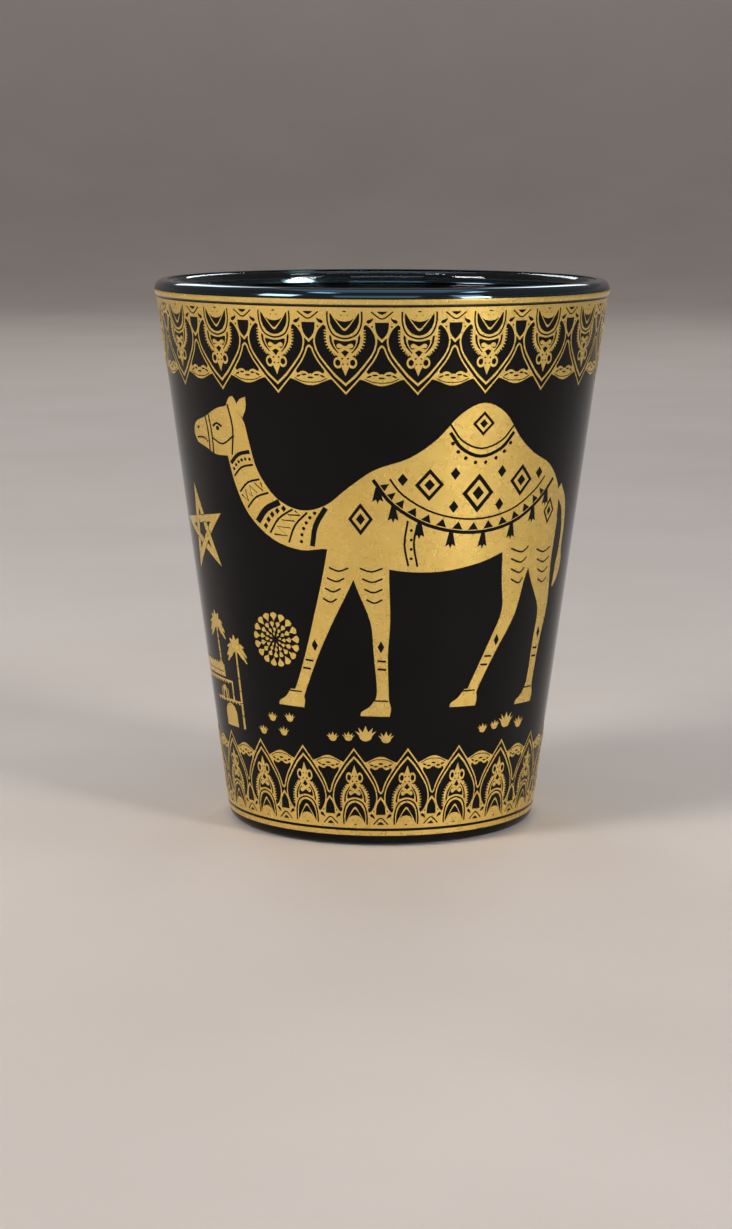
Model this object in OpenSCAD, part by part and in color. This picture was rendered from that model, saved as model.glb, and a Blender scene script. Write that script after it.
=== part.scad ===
// Moroccan tea glass: a tapered tumbler of clear pressed glass with a thick base and a
// fire-polished lip, a black lacquer skin outside, and a gold print fired onto the skin.
// Millimetres. Z is the glass's axis and up. The origin is the middle of the foot's plane.
// The front camel's middle is near -Y and the camel walks towards -X.

/* [Glass] */
// Height of the glass
glass_h = 80; // [78:0.5:90]
// Outer radius of the wall's cone at the table
base_r = 22.6; // [21:0.1:27]
// Outer radius of the wall's cone at the middle of the lip's bead
rim_r = 33.12; // [31:0.1:38]
// Thickness of the wall, measured square to it, with the skin
wall_t = 2.3; // [1.6:0.1:3]
// Thickness of the glass under the drink
floor_t = 7.5; // [4:0.5:12]
// Radius of the rounding between the floor and the wall inside
floor_fillet = 5; // [2:0.5:8]
// Radius of the rounding at the foot
foot_fillet = 1.5; // [0.8:0.1:1.6]
// Radius of the bead of the lip
bead_r = 1.45; // [1.3:0.05:1.8]
// How far the bead stands out past the wall's cone
bead_proud = 0.2; // [0.1:0.05:0.4]
// Width of the ring that the glass stands on
ring_w = 3.6; // [2:0.1:6]
// Depth of the hollow under the base
push_up_h = 1.5; // [0.8:0.1:2.5]

/* [Black skin] */
// Thickness of the lacquer
skin_t = 0.12; // [0.08:0.01:0.2]
// How far the lacquer reaches round the bead, in degrees from the bead's side
skin_lip_angle = 110; // [90:5:130]
// How far the lacquer reaches down round the foot, in degrees from the foot's side
skin_foot_angle = 45; // [20:5:50]

/* [Gold print] */
// Thickness of the gold
gold_t = 0.1; // [0.06:0.01:0.2]
// Clearance between the lacquer and the gold
gold_seat = 0.02; // [0.01:0.01:0.05]
// Width of the gold line on the lip
lip_line_w = 0.7; // [0.4:0.05:0.9]
// Width of the gold line round the foot
foot_line_w = 0.7; // [0.4:0.05:0.8]
// Height of the black gap above the foot's gold line
foot_gap_z = 2.5; // [2.4:0.05:3]
// Width of the black gap on each side of that place, and below the lip
line_gap = 0.2; // [0.1:0.05:0.3]

/* [Lace borders] */
// Number of pendants round the glass
pendants = 20; // [16:1:24]
// Height of a border, from its gap to the pendants' points
border_h = 12.1; // [9:0.1:13]
// Width of the fine gold lines
fine_w = 0.32; // [0.26:0.02:0.36]
// Width of the black line round the half-moon
moon_line_w = 0.25; // [0.15:0.05:0.3]

/* [Camels] */
// Length of a camel, measured round the wall
camel_length = 64; // [56:0.5:66]
// Gap between the camels' feet and the ground that the grass stands on
camel_foot_gap = 3.9; // [3:0.1:6]
// Gap between the camels' humps and the upper border's points
camel_top_gap = 0.6; // [0.4:0.1:6]
// Direction of the front camel's nose, in degrees to the right of the front
camel_angle = -61; // [-80:1:-40]
// Width of the fine black marks on a camel
mark_w = 0.3; // [0.2:0.05:0.4]
// Width of the bold black marks on a camel
bold_w = 0.55; // [0.4:0.05:0.8]

/* [Small figures] */
// Radius of a star
star_r = 6.8; // [5:0.1:7.5]
// Width of a star's bands
star_band = 1.05; // [0.8:0.05:1.2]
// Radius of a rosette
rosette_r = 4; // [3:0.1:5]
// Number of a rosette's long petals
petals = 10; // [6:1:12]
// Height of the taller palm
palm_h = 14; // [11:0.5:15]
// Clearance between the lower border's points and the figures that stand over them
stand_gap = 0.3; // [0.2:0.05:1]
// Height of the biggest tuft of grass
tuft_h = 2.3; // [1.5:0.1:2.6]

/* [Hidden] */

// Clear overrun of every cut
over = 1;
// Names for the coordinates of a point, and for the width or size that may follow them
X = 0;
Y = 1;
W = 2;
// The picture is printed on the front and again on the back
picture_angles = [0, 180];
// Degrees that a wrapped figure's section reaches past the figure
spare_angle = 1;

bead_z = glass_h - bead_r;
bead_x = rim_r + bead_proud - bead_r;
lean = (rim_r - base_r) / bead_z;
lean_cos = cos(atan(lean));
lean_sin = sin(atan(lean));
// The crease where the wall's cone runs into the bead
crease_side = bead_r - bead_proud;
crease_drop = (lean * crease_side + sqrt(pow(lean * crease_side, 2)
    + (1 + lean * lean) * (bead_r * bead_r - crease_side * crease_side))) / (1 + lean * lean);
crease_z = bead_z - crease_drop;
// The foot's rounding touches the table and the glass's cone
foot_x = wall_r(foot_fillet) - (skin_t + foot_fillet) / lean_cos;
ring_in_r = foot_x - ring_w;
dome_r = (ring_in_r * ring_in_r + push_up_h * push_up_h) / (2 * push_up_h);
dome_z = push_up_h - dome_r;
// The rounding inside touches the floor and the inner cone
floor_z = floor_t + floor_fillet;
floor_x = wall_r(floor_z) - (wall_t + floor_fillet) / lean_cos;
gold_in = skin_t + gold_seat;
gold_out = gold_in + gold_t;
cell_angle = 360 / pendants;
// How far a border's ring of gold reaches before it is cut, as a share of the border's height
ring_reach_share = 1.05;
// The figures stand between the two borders' points, on the ground
ground_z = foot_gap_z + border_h * ring_reach_share + stand_gap;
camel_z = ground_z + camel_foot_gap;
camel_h = crease_z - border_h * ring_reach_share - camel_top_gap - camel_z;
// A camel is wrapped in three views side by side, with some spare at its nose and tail
camel_r = wall_r(camel_z + camel_h / 2);
views = 3;
view_spare_angle = 2;
view_angle = (camel_length / camel_r * 180 / PI + 2 * view_spare_angle) / views;
// Beyond this angle off a view, a point only has to stay out of the view
view_limit_angle = 60;
right_angle = 90;

// Radius of the black skin's outside at a height
function wall_r(z) = base_r + lean * z;
// A point of the cone that lies a distance outwards from the glass under the skin
function wall_at(z, out) = [wall_r(z) + (out - skin_t) / lean_cos, z];

// Smooth curves through points
function bend(a, b, c, d, t) = (2 * b + (c - a) * t + (2 * a - 5 * b + 4 * c - d) * t * t
    + (3 * b - a - 3 * c + d) * t * t * t) / 2;
function led(p) = let (m = len(p) - 1) concat([2 * p[0] - p[1]], p, [2 * p[m] - p[m - 1]]);
// A curve without its last point, so that another stroke may follow it
function stroke(p, n = 2) = let (q = led(p))
    [for (i = [1:len(q) - 3]) for (j = [0:n - 1]) bend(q[i - 1], q[i], q[i + 1], q[i + 2], j / n)];
function curve(p, n = 2) = concat(stroke(p, n), [p[len(p) - 1]]);
function backwards(p) = [for (i = [len(p) - 1:-1:0]) p[i]];
function unit(v) = v / norm(v);
function flat(v) = [v[X], v[Y]];
function square_to(p, i) =
    let (t = unit(flat(p[min(i + 1, len(p) - 1)]) - flat(p[max(i - 1, 0)]))) [-t[Y], t[X]];
function moved(p, d) = [for (i = [0:len(p) - 1]) p[i] + square_to(p, i) * d];
// The same for a half outline whose last point lies on the middle line and stays there
function half_moved(p, d) = let (m = len(p) - 1)
    concat([for (i = [0:m - 1]) p[i] + square_to(p, i) * d],
        [[0, p[m][Y] + d / unit(p[m] - p[m - 1])[X]]]);
function ribbon(p, w) = concat(moved(p, w / 2), backwards(moved(p, -w / 2)));
// A stroke whose width follows its points
function limb(p) = concat([for (i = [0:len(p) - 1]) flat(p[i]) + square_to(p, i) * p[i][W] / 2],
    [for (i = [len(p) - 1:-1:0]) flat(p[i]) - square_to(p, i) * p[i][W] / 2]);
// A half outline from the outside to the middle line, and back down the other side
function both(p) = let (m = len(p) - 2)
    concat(p, [for (i = [m:-1:0]) [-p[i][X], p[i][Y]]]);

// Solid outline from the axis to a distance outwards from the glass
module filled(out) {
    polygon([[0, -out], [foot_x, -out],
        [foot_x + (foot_fillet + out) * lean_cos, foot_fillet - (foot_fillet + out) * lean_sin],
        wall_at(bead_z, out), [0, bead_z]]);
    translate([foot_x, foot_fillet])
        circle(foot_fillet + out, $fn = 64);
    translate([bead_x, bead_z])
        circle(bead_r - skin_t + out, $fn = 64);
}

module bore() {
    inner_x = wall_r(bead_z) - wall_t / lean_cos;
    polygon([[0, floor_t], [floor_x, floor_t],
        [floor_x + floor_fillet * lean_cos, floor_z - floor_fillet * lean_sin],
        [inner_x, bead_z], [inner_x, glass_h + over], [0, glass_h + over]]);
    translate([floor_x, floor_z])
        circle(floor_fillet, $fn = 96);
}

module glass_tumbler() {
    color("lightcyan", 0.6)
        rotate_extrude($fn = 180)
            union() {
                difference() {
                    filled(0);
                    bore();
                    translate([0, dome_z])
                        circle(dome_r, $fn = 256);
                }
                translate([bead_x, bead_z])
                    circle(bead_r - skin_t, $fn = 64);
            }
}

// The skin stops on the bead's crown, and above the ring that the glass stands on
module black_skin() {
    reach = bead_r + over;
    foot_reach = foot_fillet + over;
    color("black")
        rotate_extrude($fn = 180) {
            difference() {
                filled(skin_t);
                filled(0);
                translate([bead_x, bead_z])
                    polygon([[0, 0], reach * [cos(skin_lip_angle), sin(skin_lip_angle)],
                        [-reach, reach], [-bead_x, reach], [-bead_x, 0]]);
                translate([foot_x, foot_fillet])
                    polygon([[0, 0], foot_reach * [cos(skin_foot_angle), -sin(skin_foot_angle)],
                        [foot_reach, -foot_reach], [-foot_x, -foot_reach], [-foot_x, 0]]);
            }
            intersection() {
                translate([0, dome_z])
                    difference() {
                        circle(dome_r, $fn = 256);
                        circle(dome_r - skin_t, $fn = 256);
                    }
                translate([0, skin_t])
                    square([ring_in_r, push_up_h]);
            }
        }
}

module lip_line() {
    color("gold")
        rotate_extrude($fn = 180)
            intersection() {
                translate([bead_x, bead_z])
                    difference() {
                        circle(bead_r + gold_seat + gold_t, $fn = 64);
                        circle(bead_r + gold_seat, $fn = 64);
                    }
                translate([bead_x, crease_z + line_gap])
                    square([bead_r + over, lip_line_w]);
            }
}

// Section of the gold between two heights
module gold_section(z_low, z_high) {
    polygon([wall_at(z_low, gold_in), wall_at(z_low, gold_out),
        wall_at(z_high, gold_out), wall_at(z_high, gold_in)]);
}

module foot_line() {
    color("gold")
        rotate_extrude($fn = 180)
            gold_section(foot_gap_z - line_gap - foot_line_w, foot_gap_z - line_gap);
}

// A flat figure wrapped onto the wall: its X is the distance across from the middle direction
module wrapped(z_low, z_high, turn, spread) {
    rotate([0, 0, turn])
        intersection() {
            rotate([0, 0, -90 - spread])
                rotate_extrude(angle = 2 * spread, $fn = 256)
                    gold_section(z_low, z_high);
            rotate([90, 0, 0])
                linear_extrude(height = rim_r + over)
                    children();
        }
}

// Lace of the borders: a ring of gold with cuts. Each point is a share of half a pendant
// across, and a share of the border's height from its gap towards the pendants' points.
// What stays is two nets: the outer line with the swags, and the hearts inside it.
// Cuts on a pendant's middle line. The channel runs between the inner and the outer line of
// the heart, and meets the next heart's channel in the joint.
heart_in_shares = [[0.575, 0.2], [0.74, 0.262], [0.845, 0.38], [0.77, 0.525], [0.511, 0.678],
    [0, 0.893]];
heart_out_shares = [[1, 0.45], [0.92, 0.48], [0.86, 0.555], [0, 0.992]];
joint_shares = [[1, 0.415], [0.91, 0.37]];
joint_tip_share = [1.03, 0.427];
// The wings, scrolls and spear that hang in the heart, with the field cut round them
wings_shares = [[0.525, 0.215], [0.5, 0.27], [0.567, 0.38], [0.45, 0.51], [0.245, 0.572],
    [0.31, 0.61], [0.3, 0.67], [0.22, 0.705], [0.08, 0.715], [0, 0.79]];
// Half-moon: the black line round it, the moon, and the gold that bites into it
moon_line_shares = [[0.461, 0.066], [0.455, 0.19], [0.32, 0.32], [0, 0.375]];
moon_shares = [[0.372, 0.091], [0.38, 0.18], [0.25, 0.29], [0, 0.332]];
bite_shares = [[0.35, 0.088], [0.21, 0.175], [0, 0.273]];
notch_shares = [[0.15, 0.165], [0, 0.227]];
// Cuts in the wings: the hollow, and the drop below it
hollow_shares = [[0.26, 0.4], [0.22, 0.475], [0, 0.45]];
drop_shares = [[0, 0.5], [0.105, 0.525], [0, 0.583], [-0.105, 0.525]];
// Cuts between two pendants: the ground past the swag, the bell, the shield, the small arch
ground_shares = [[1.03, 1.08], [1.03, 1.027], [0.615, 0.832], [0.5, 0.852], [0.28, 0.893],
    [0, 0.911]];
bell_shares = [[0.406, 0.737], [0.12, 0.572], [0.07, 0.5], [0, 0.469]];
bell_edge_shares = [[0.14, 0.742], [0, 0.777]];
shield_shares = [[0.189, 0.19], [0.15, 0.295], [0, 0.376]];
arch_shares = [[0.2, 0.062], [0, 0.115]];
// The cuts start this far out, as a share of the ring's smallest radius
cut_start_share = 0.97;

// A border starts at a height and hangs down (-1) or stands up (1) from it
function lace(p, z0, way) = [for (v = p) let (z = z0 + way * v[Y] * border_h)
    [wall_r(z) * sin(v[X] * cell_angle / 2), z]];
function inner_edge(p) = [for (i = [2:len(p) - 1]) p[i]];

module pendant_cuts(z0, way) {
    heart_in = lace(heart_in_shares, z0, way);
    heart_out = lace(heart_out_shares, z0, way);
    // The lines are finer where the glass is narrower
    thin = wall_r(z0) / wall_r(crease_z);
    half_w = way * thin * fine_w / 2;
    polygon(concat(
        both(concat(lace([joint_tip_share], z0, way), half_moved(heart_out, half_w))),
        backwards(both(concat(lace(joint_shares, z0, way),
            inner_edge(half_moved(heart_in, -half_w)))))));
    polygon(concat(both(half_moved(heart_in, half_w)),
        backwards(both(lace(wings_shares, z0, way)))));
    polygon(ribbon(both(lace(moon_line_shares, z0, way)), thin * moon_line_w));
    polygon(concat(both(lace(moon_shares, z0, way)),
        backwards(both(lace(bite_shares, z0, way)))));
    polygon(both(lace(notch_shares, z0, way)));
    polygon(both(lace(hollow_shares, z0, way)));
    polygon(lace(drop_shares, z0, way));
}

module cuts_between(z0, way) {
    polygon(both(lace(ground_shares, z0, way)));
    polygon(concat(both(lace(bell_shares, z0, way)),
        backwards(both(lace(bell_edge_shares, z0, way)))));
    polygon(both(lace(shield_shares, z0, way)));
    polygon(both(lace(arch_shares, z0, way)));
}

// Flat cuts through the wall's gold in one direction
module cut_through(turn, r_in, r_out) {
    rotate([0, 0, turn])
        translate([0, -r_in, 0])
            rotate([90, 0, 0])
                linear_extrude(height = r_out - r_in)
                    children();
}

module border(z0, way) {
    ends = [z0 + way * line_gap, z0 + way * border_h * ring_reach_share];
    r_in = wall_r(min(ends)) * cut_start_share;
    r_out = wall_r(max(ends)) + over;
    difference() {
        rotate_extrude($fn = 256)
            gold_section(min(ends), max(ends));
        for (i = [1:pendants])
            cut_through((i - 1 / 2) * cell_angle, r_in, r_out)
                pendant_cuts(z0, way);
        for (i = [1:pendants])
            cut_through(i * cell_angle, r_in, r_out)
                cuts_between(z0, way);
    }
}

module upper_border() {
    color("gold")
        border(crease_z, -1);
}

module lower_border() {
    color("gold")
        border(foot_gap_z, 1);
}

// Camel. Each point is a share of its length from the nose and of its height from the feet.
camel_head_shares = [[0.011, 0.844], [0, 0.873], [0.013, 0.909], [0.053, 0.931],
    [0.094, 0.96], [0.125, 0.971]];
camel_ear_shares = [[0.125, 0.971], [0.136, 0.998], [0.147, 1.004], [0.155, 0.987]];
camel_far_ear_shares = [[0.15, 0.969], [0.166, 0.996], [0.181, 1.004], [0.18, 0.969],
    [0.169, 0.938]];
camel_back_shares = [[0.155, 0.96], [0.172, 0.924], [0.181, 0.858], [0.197, 0.773],
    [0.237, 0.693], [0.294, 0.658], [0.35, 0.676], [0.4, 0.733], [0.456, 0.791],
    [0.525, 0.827], [0.581, 0.884], [0.628, 0.96], [0.678, 0.993], [0.728, 0.96],
    [0.772, 0.88], [0.816, 0.827], [0.875, 0.782], [0.919, 0.711], [0.934, 0.622],
    [0.931, 0.547], [0.9, 0.48]];
camel_belly_shares = [[0.9, 0.48], [0.838, 0.498], [0.772, 0.52], [0.697, 0.489],
    [0.603, 0.467], [0.509, 0.471], [0.444, 0.493], [0.391, 0.502], [0.353, 0.538],
    [0.291, 0.531], [0.222, 0.56], [0.163, 0.631], [0.131, 0.72], [0.116, 0.813]];
camel_jaw_shares = [[0.116, 0.813], [0.078, 0.813], [0.044, 0.831], [0.011, 0.844]];
// Legs from hip to ankle, and the tail. The third number is the width's share of the height.
camel_leg_shares = [
    [[0.4, 0.567, 0.124], [0.369, 0.436, 0.093], [0.334, 0.311, 0.064],
        [0.303, 0.2, 0.044], [0.272, 0.093, 0.038], [0.256, 0.049, 0.044]],
    [[0.434, 0.556, 0.147], [0.45, 0.431, 0.107], [0.467, 0.311, 0.064],
        [0.469, 0.2, 0.047], [0.473, 0.089, 0.04], [0.472, 0.044, 0.049]],
    [[0.812, 0.569, 0.178], [0.797, 0.44, 0.111], [0.791, 0.32, 0.064],
        [0.75, 0.209, 0.044], [0.709, 0.098, 0.038], [0.697, 0.053, 0.044]],
    [[0.875, 0.587, 0.182], [0.891, 0.453, 0.129], [0.922, 0.32, 0.067],
        [0.912, 0.204, 0.047], [0.906, 0.093, 0.04], [0.902, 0.049, 0.049]]];
camel_tail_shares = [[0.925, 0.698, 0.044], [0.959, 0.644, 0.031], [0.975, 0.569, 0.022],
    [0.977, 0.498, 0.022], [0.978, 0.453, 0.044], [0.972, 0.409, 0.036],
    [0.959, 0.373, 0.011]];
// A foot's outline about its place, and the four places
camel_foot_shares = [[-0.016, 0.058], [-0.031, 0.031], [-0.05, 0.016], [-0.053, 0.002],
    [0.019, 0], [0.022, 0.027], [0.016, 0.058]];
camel_foot_place_shares = [[0.255, 0.02], [0.472, 0], [0.695, 0.022], [0.903, 0.002]];
// Fine marks: lid, mouth, halter, girth
camel_fine_shares = [
    [[0.077, 0.902], [0.091, 0.913], [0.106, 0.904]],
    [[0.02, 0.86], [0.034, 0.862], [0.047, 0.853]],
    [[0.058, 0.916], [0.06, 0.88], [0.059, 0.84]],
    [[0.074, 0.925], [0.076, 0.88], [0.075, 0.832]],
    [[0.084, 0.864], [0.103, 0.849], [0.124, 0.867]],
    [[0.133, 0.95], [0.139, 0.902], [0.135, 0.836]],
    [[0.52, 0.6], [0.517, 0.556], [0.525, 0.496]],
    [[0.543, 0.593], [0.54, 0.556], [0.547, 0.491]],
    [[0.509, 0.744], [0.551, 0.673], [0.609, 0.644], [0.675, 0.631], [0.739, 0.644],
        [0.797, 0.678], [0.836, 0.733]],
    [[0.622, 0.911], [0.645, 0.872], [0.678, 0.853], [0.713, 0.868], [0.739, 0.907]]];
// Bold marks: the blanket's hem and the saddle cap's hem
camel_bold_shares = [
    [[0.455, 0.757], [0.494, 0.68], [0.572, 0.613], [0.672, 0.587], [0.772, 0.609],
        [0.85, 0.671], [0.892, 0.732]],
    [[0.612, 0.896], [0.634, 0.853], [0.678, 0.827], [0.725, 0.849], [0.75, 0.89]]];
// Bands across the neck, from its nape to its throat, and each band's width in marks
camel_neck_shares = [
    [[0.179, 0.833], [0.156, 0.808], [0.124, 0.79], 2], [[0.186, 0.793], [0.164, 0.769],
        [0.131, 0.751], 1],
    [[0.2, 0.749], [0.178, 0.724], [0.144, 0.702], 1], [[0.22, 0.708], [0.198, 0.682],
        [0.162, 0.653], 1],
    [[0.246, 0.68], [0.22, 0.647], [0.186, 0.612], 3], [[0.277, 0.658], [0.252, 0.618],
        [0.218, 0.578], 1],
    [[0.309, 0.653], [0.289, 0.602], [0.264, 0.551], 1], [[0.349, 0.669], [0.336, 0.608],
        [0.32, 0.546], 2]];
// Round marks: eye, neck, saddle cap and girth. The third number is the radius in marks.
camel_dot_shares = [[0.092, 0.897, 1.2], [0.02, 0.894, 0.6],
    [0.172, 0.806, 0.8], [0.156, 0.785, 0.8], [0.14, 0.774, 0.8],
    [0.197, 0.726, 0.9], [0.181, 0.707, 0.9], [0.164, 0.689, 0.9],
    [0.254, 0.663, 1], [0.24, 0.635, 1], [0.222, 0.61, 1],
    [0.326, 0.642, 0.9], [0.319, 0.608, 0.9], [0.307, 0.573, 0.9],
    [0.622, 0.853, 0.9], [0.647, 0.817, 0.9], [0.678, 0.802, 0.9], [0.709, 0.814, 0.9],
    [0.736, 0.845, 0.9], [0.53, 0.578, 0.7], [0.529, 0.55, 0.7], [0.532, 0.52, 0.7]];
// Lozenges: place, half width and half height. The big ones have a gold lozenge inside.
camel_big_lozenge_shares = [[0.569, 0.742, 0.031, 0.051], [0.678, 0.711, 0.0375, 0.062],
    [0.787, 0.742, 0.031, 0.051], [0.425, 0.64, 0.027, 0.053], [0.68, 0.93, 0.024, 0.038]];
camel_small_lozenge_shares = [[0.512, 0.762, 0.011, 0.02], [0.623, 0.779, 0.011, 0.02],
    [0.733, 0.779, 0.011, 0.02], [0.841, 0.764, 0.011, 0.02], [0.623, 0.669, 0.011, 0.02],
    [0.733, 0.669, 0.011, 0.02], [0.895, 0.64, 0.012, 0.03], [0.311, 0.227, 0.007, 0.018],
    [0.469, 0.227, 0.007, 0.018], [0.761, 0.231, 0.007, 0.018], [0.917, 0.231, 0.007, 0.018]];
inner_lozenge_share = 0.55;
// Tassels under the blanket's hem: where each hangs from, and how it leans
camel_tassel_shares = [[0.468, 0.718, -0.004], [0.511, 0.65, -0.004], [0.566, 0.605, -0.002],
    [0.62, 0.586, 0], [0.678, 0.575, 0], [0.735, 0.586, 0], [0.79, 0.61, 0.002],
    [0.845, 0.65, 0.004]];
tassel_outline_shares = [[0.004, 0], [0.011, -0.045], [0.004, -0.04], [0, -0.053],
    [-0.004, -0.04], [-0.011, -0.045], [-0.004, 0]];
// Stripes on the thighs: their middles, and the stripe's outline about its middle
camel_stripe_shares = [[0.436, 0.471], [0.443, 0.436], [0.449, 0.4], [0.452, 0.367],
    [0.378, 0.471], [0.369, 0.436], [0.36, 0.4], [0.35, 0.367],
    [0.803, 0.507], [0.801, 0.471], [0.799, 0.436], [0.796, 0.4],
    [0.894, 0.489], [0.898, 0.453], [0.905, 0.418], [0.912, 0.384]];
stripe_line_shares = [[-0.022, 0.008], [0, -0.007], [0.022, 0.008]];
// Bracelets on the shins: the middle of each
camel_bracelet_shares = [[0.295, 0.178], [0.289, 0.151], [0.47, 0.18], [0.471, 0.154],
    [0.739, 0.18], [0.731, 0.154], [0.911, 0.18], [0.909, 0.154]];
bracelet_line_shares = [[-0.011, 0], [0.011, 0]];

// How far across a point lies, as a share of the wall's radius, at an angle off the view
function across(t) = abs(t) < view_limit_angle ? sin(t)
    : sign(t) * (sin(view_limit_angle) + (abs(t) - view_limit_angle) / right_angle);
// Flat points, in millimetres from the camel's nose and feet, as seen from one view
function seen(p, off) = [for (v = p) let (z = camel_z + v[Y])
    [wall_r(z) * across(v[X] / camel_r * 180 / PI + off), z]];
// Shares to millimetres, and shares about a place to millimetres
function camel_mm(p) = [for (v = p) len(v) > 2
    ? [v[X] * camel_length, v[Y] * camel_h, v[W] * camel_h]
    : [v[X] * camel_length, v[Y] * camel_h]];
function about(place, p) = [for (v = p) flat(place) + v];
// Direction of a place in shares of the camel
function beside(place) = camel_angle + place[X] * camel_length / camel_r * 180 / PI;
function lozenge(v, share) = camel_mm(about(v, share * [[0, v[3]], [v[W], 0], [0, -v[3]],
    [-v[W], 0]]));

module camel_body(off) {
    polygon(seen(camel_mm(concat(stroke(camel_head_shares), camel_ear_shares,
        stroke(camel_back_shares), stroke(camel_belly_shares), stroke(camel_jaw_shares))), off));
    polygon(seen(camel_mm(camel_far_ear_shares), off));
    for (leg = camel_leg_shares)
        polygon(seen(limb(curve(camel_mm(leg))), off));
    polygon(seen(limb(curve(camel_mm(camel_tail_shares))), off));
    for (place = camel_foot_place_shares)
        polygon(seen(camel_mm(about(place, camel_foot_shares)), off));
}

module camel_marks(off) {
    for (line = camel_fine_shares)
        polygon(seen(ribbon(camel_mm(line), mark_w), off));
    for (line = camel_bold_shares)
        polygon(seen(ribbon(camel_mm(line), bold_w), off));
    for (band = camel_neck_shares)
        polygon(seen(ribbon(camel_mm([band[0], band[1], band[2]]), mark_w * band[3]), off));
    for (v = camel_stripe_shares)
        polygon(seen(ribbon(camel_mm(about(v, stripe_line_shares)), mark_w), off));
    for (v = camel_bracelet_shares)
        polygon(seen(ribbon(camel_mm(about(v, bracelet_line_shares)), mark_w), off));
    for (v = camel_tassel_shares)
        polygon(seen(camel_mm([for (s = tassel_outline_shares)
            [v[X] + s[X] - v[W] * s[Y] / tassel_outline_shares[3][Y], v[Y] + s[Y]]]), off));
    for (v = camel_small_lozenge_shares)
        polygon(seen(lozenge(v, 1), off));
    for (v = camel_big_lozenge_shares)
        difference() {
            polygon(seen(lozenge(v, 1), off));
            polygon(seen(lozenge(v, inner_lozenge_share), off));
        }
    for (v = camel_dot_shares)
        translate(seen(camel_mm([flat(v)]), off)[0])
            circle(mark_w * v[W], $fn = 24);
}

module camels() {
    color("gold")
        for (picture = picture_angles)
            for (i = [0:views - 1]) {
                off = view_spare_angle - (i + 1 / 2) * view_angle;
                wrapped(camel_z - over, camel_z + camel_h + over,
                    picture + camel_angle - off, view_angle / 2)
                    difference() {
                        camel_body(off);
                        camel_marks(off);
                    }
            }
}

// Star of five crossed bands in front of each camel. Its middle, in shares of the camel.
star_place_shares = [-0.027, 0.556];
star_tilt_angle = 8;

module star() {
    // The bands' outer edges pass the middle at this distance, and meet in the tips
    edge = star_r * cos(72);
    tip = star_r - star_band / sin(18);
    difference() {
        polygon([for (k = [0:9])
            (k % 2 == 0 ? star_r : edge / cos(36)) * [sin(36 * k), cos(36 * k)]]);
        rotate([0, 0, -90])
            circle((edge - star_band) / cos(36), $fn = 5);
        for (k = [0:4])
            rotate([0, 0, 72 * k])
                polygon([[0, tip], [(tip - edge) * tan(18), edge], [(edge - tip) * tan(18), edge]]);
    }
}

module stars() {
    z = camel_z + star_place_shares[Y] * camel_h;
    color("gold")
        for (picture = picture_angles)
            wrapped(z - star_r - over, z + star_r + over, picture + beside(star_place_shares),
                asin(star_r / wall_r(z - star_r)) + spare_angle)
                translate([0, z])
                    rotate([0, 0, star_tilt_angle])
                        star();
}

// Rosette of separate petals between each camel's neck and legs. Its middle, in shares of the
// camel.
rosette_place_shares = [0.205, 0.233];
long_petal_shares = [[0, 0.64], [0.115, 0.85], [0.07, 1], [-0.07, 1], [-0.115, 0.85]];
short_petal_shares = [[0, 0.72], [0.07, 0.86], [0.03, 0.95], [-0.03, 0.95], [-0.07, 0.86]];
inner_petal_shares = [[0, 0.24], [0.08, 0.48], [0.05, 0.58], [-0.05, 0.58], [-0.08, 0.48]];

module rosettes() {
    z = camel_z + rosette_place_shares[Y] * camel_h;
    color("gold")
        for (picture = picture_angles)
            wrapped(z - rosette_r - over, z + rosette_r + over,
                picture + beside(rosette_place_shares),
                asin(rosette_r / wall_r(z - rosette_r)) + spare_angle)
                translate([0, z])
                    for (k = [0:petals - 1]) {
                        rotate([0, 0, k * 360 / petals])
                            polygon(rosette_r * long_petal_shares);
                        rotate([0, 0, (k + 1 / 2) * 360 / petals])
                            polygon(rosette_r * short_petal_shares);
                        rotate([0, 0, k * 360 / petals])
                            polygon(rosette_r * inner_petal_shares);
                    }
}

// Two palms beside a flat-roofed house, in degrees to the right of the front and in shares of
// the taller palm's height
grove_angle = -61;
palm_trunk_shares = [[0.025, 0], [0.014, 1], [-0.014, 1], [-0.025, 0]];
palm_frond_shares = [
    [[0, 0], [0.06, 0.16], [0.03, 0.17], [-0.04, 0.02]],
    [[0, 0], [-0.06, 0.17], [-0.1, 0.15], [-0.04, 0]],
    [[0, 0.02], [0.14, 0.11], [0.19, 0.03], [0.13, 0.06]],
    [[0, 0.02], [-0.14, 0.1], [-0.19, 0.02], [-0.13, 0.05]],
    [[0.02, 0.01], [0.13, 0.01], [0.16, -0.09], [0.1, -0.03]],
    [[-0.02, 0.01], [-0.13, 0], [-0.16, -0.1], [-0.1, -0.04]]];
// Where the two palms stand, and their trunks' heights
palm_place_shares = [[-0.079, 0.63, 0.45], [0.252, 0, 0.864]];
// The house: its roof, its upper and lower ledge, the wall between them, a niche and the door
house_shares = [
    [[-0.6, 0.521], [-0.016, 0.521], [-0.016, 0.65], [-0.6, 0.65]],
    [[-0.6, 0.47], [0.122, 0.47], [0.122, 0.495], [-0.6, 0.495]],
    [[-0.28, 0.265], [0.252, 0.265], [0.252, 0.29], [-0.28, 0.29]],
    [[0.097, 0.28], [0.122, 0.28], [0.122, 0.48], [0.097, 0.48]],
    [[-0.12, 0.28], [-0.04, 0.28], [-0.04, 0.37], [-0.08, 0.43], [-0.12, 0.37]],
    [[-0.104, 0], [0.136, 0], [0.136, 0.14], [0.1, 0.2], [0.016, 0.245], [-0.068, 0.2],
        [-0.104, 0.14]]];

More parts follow.
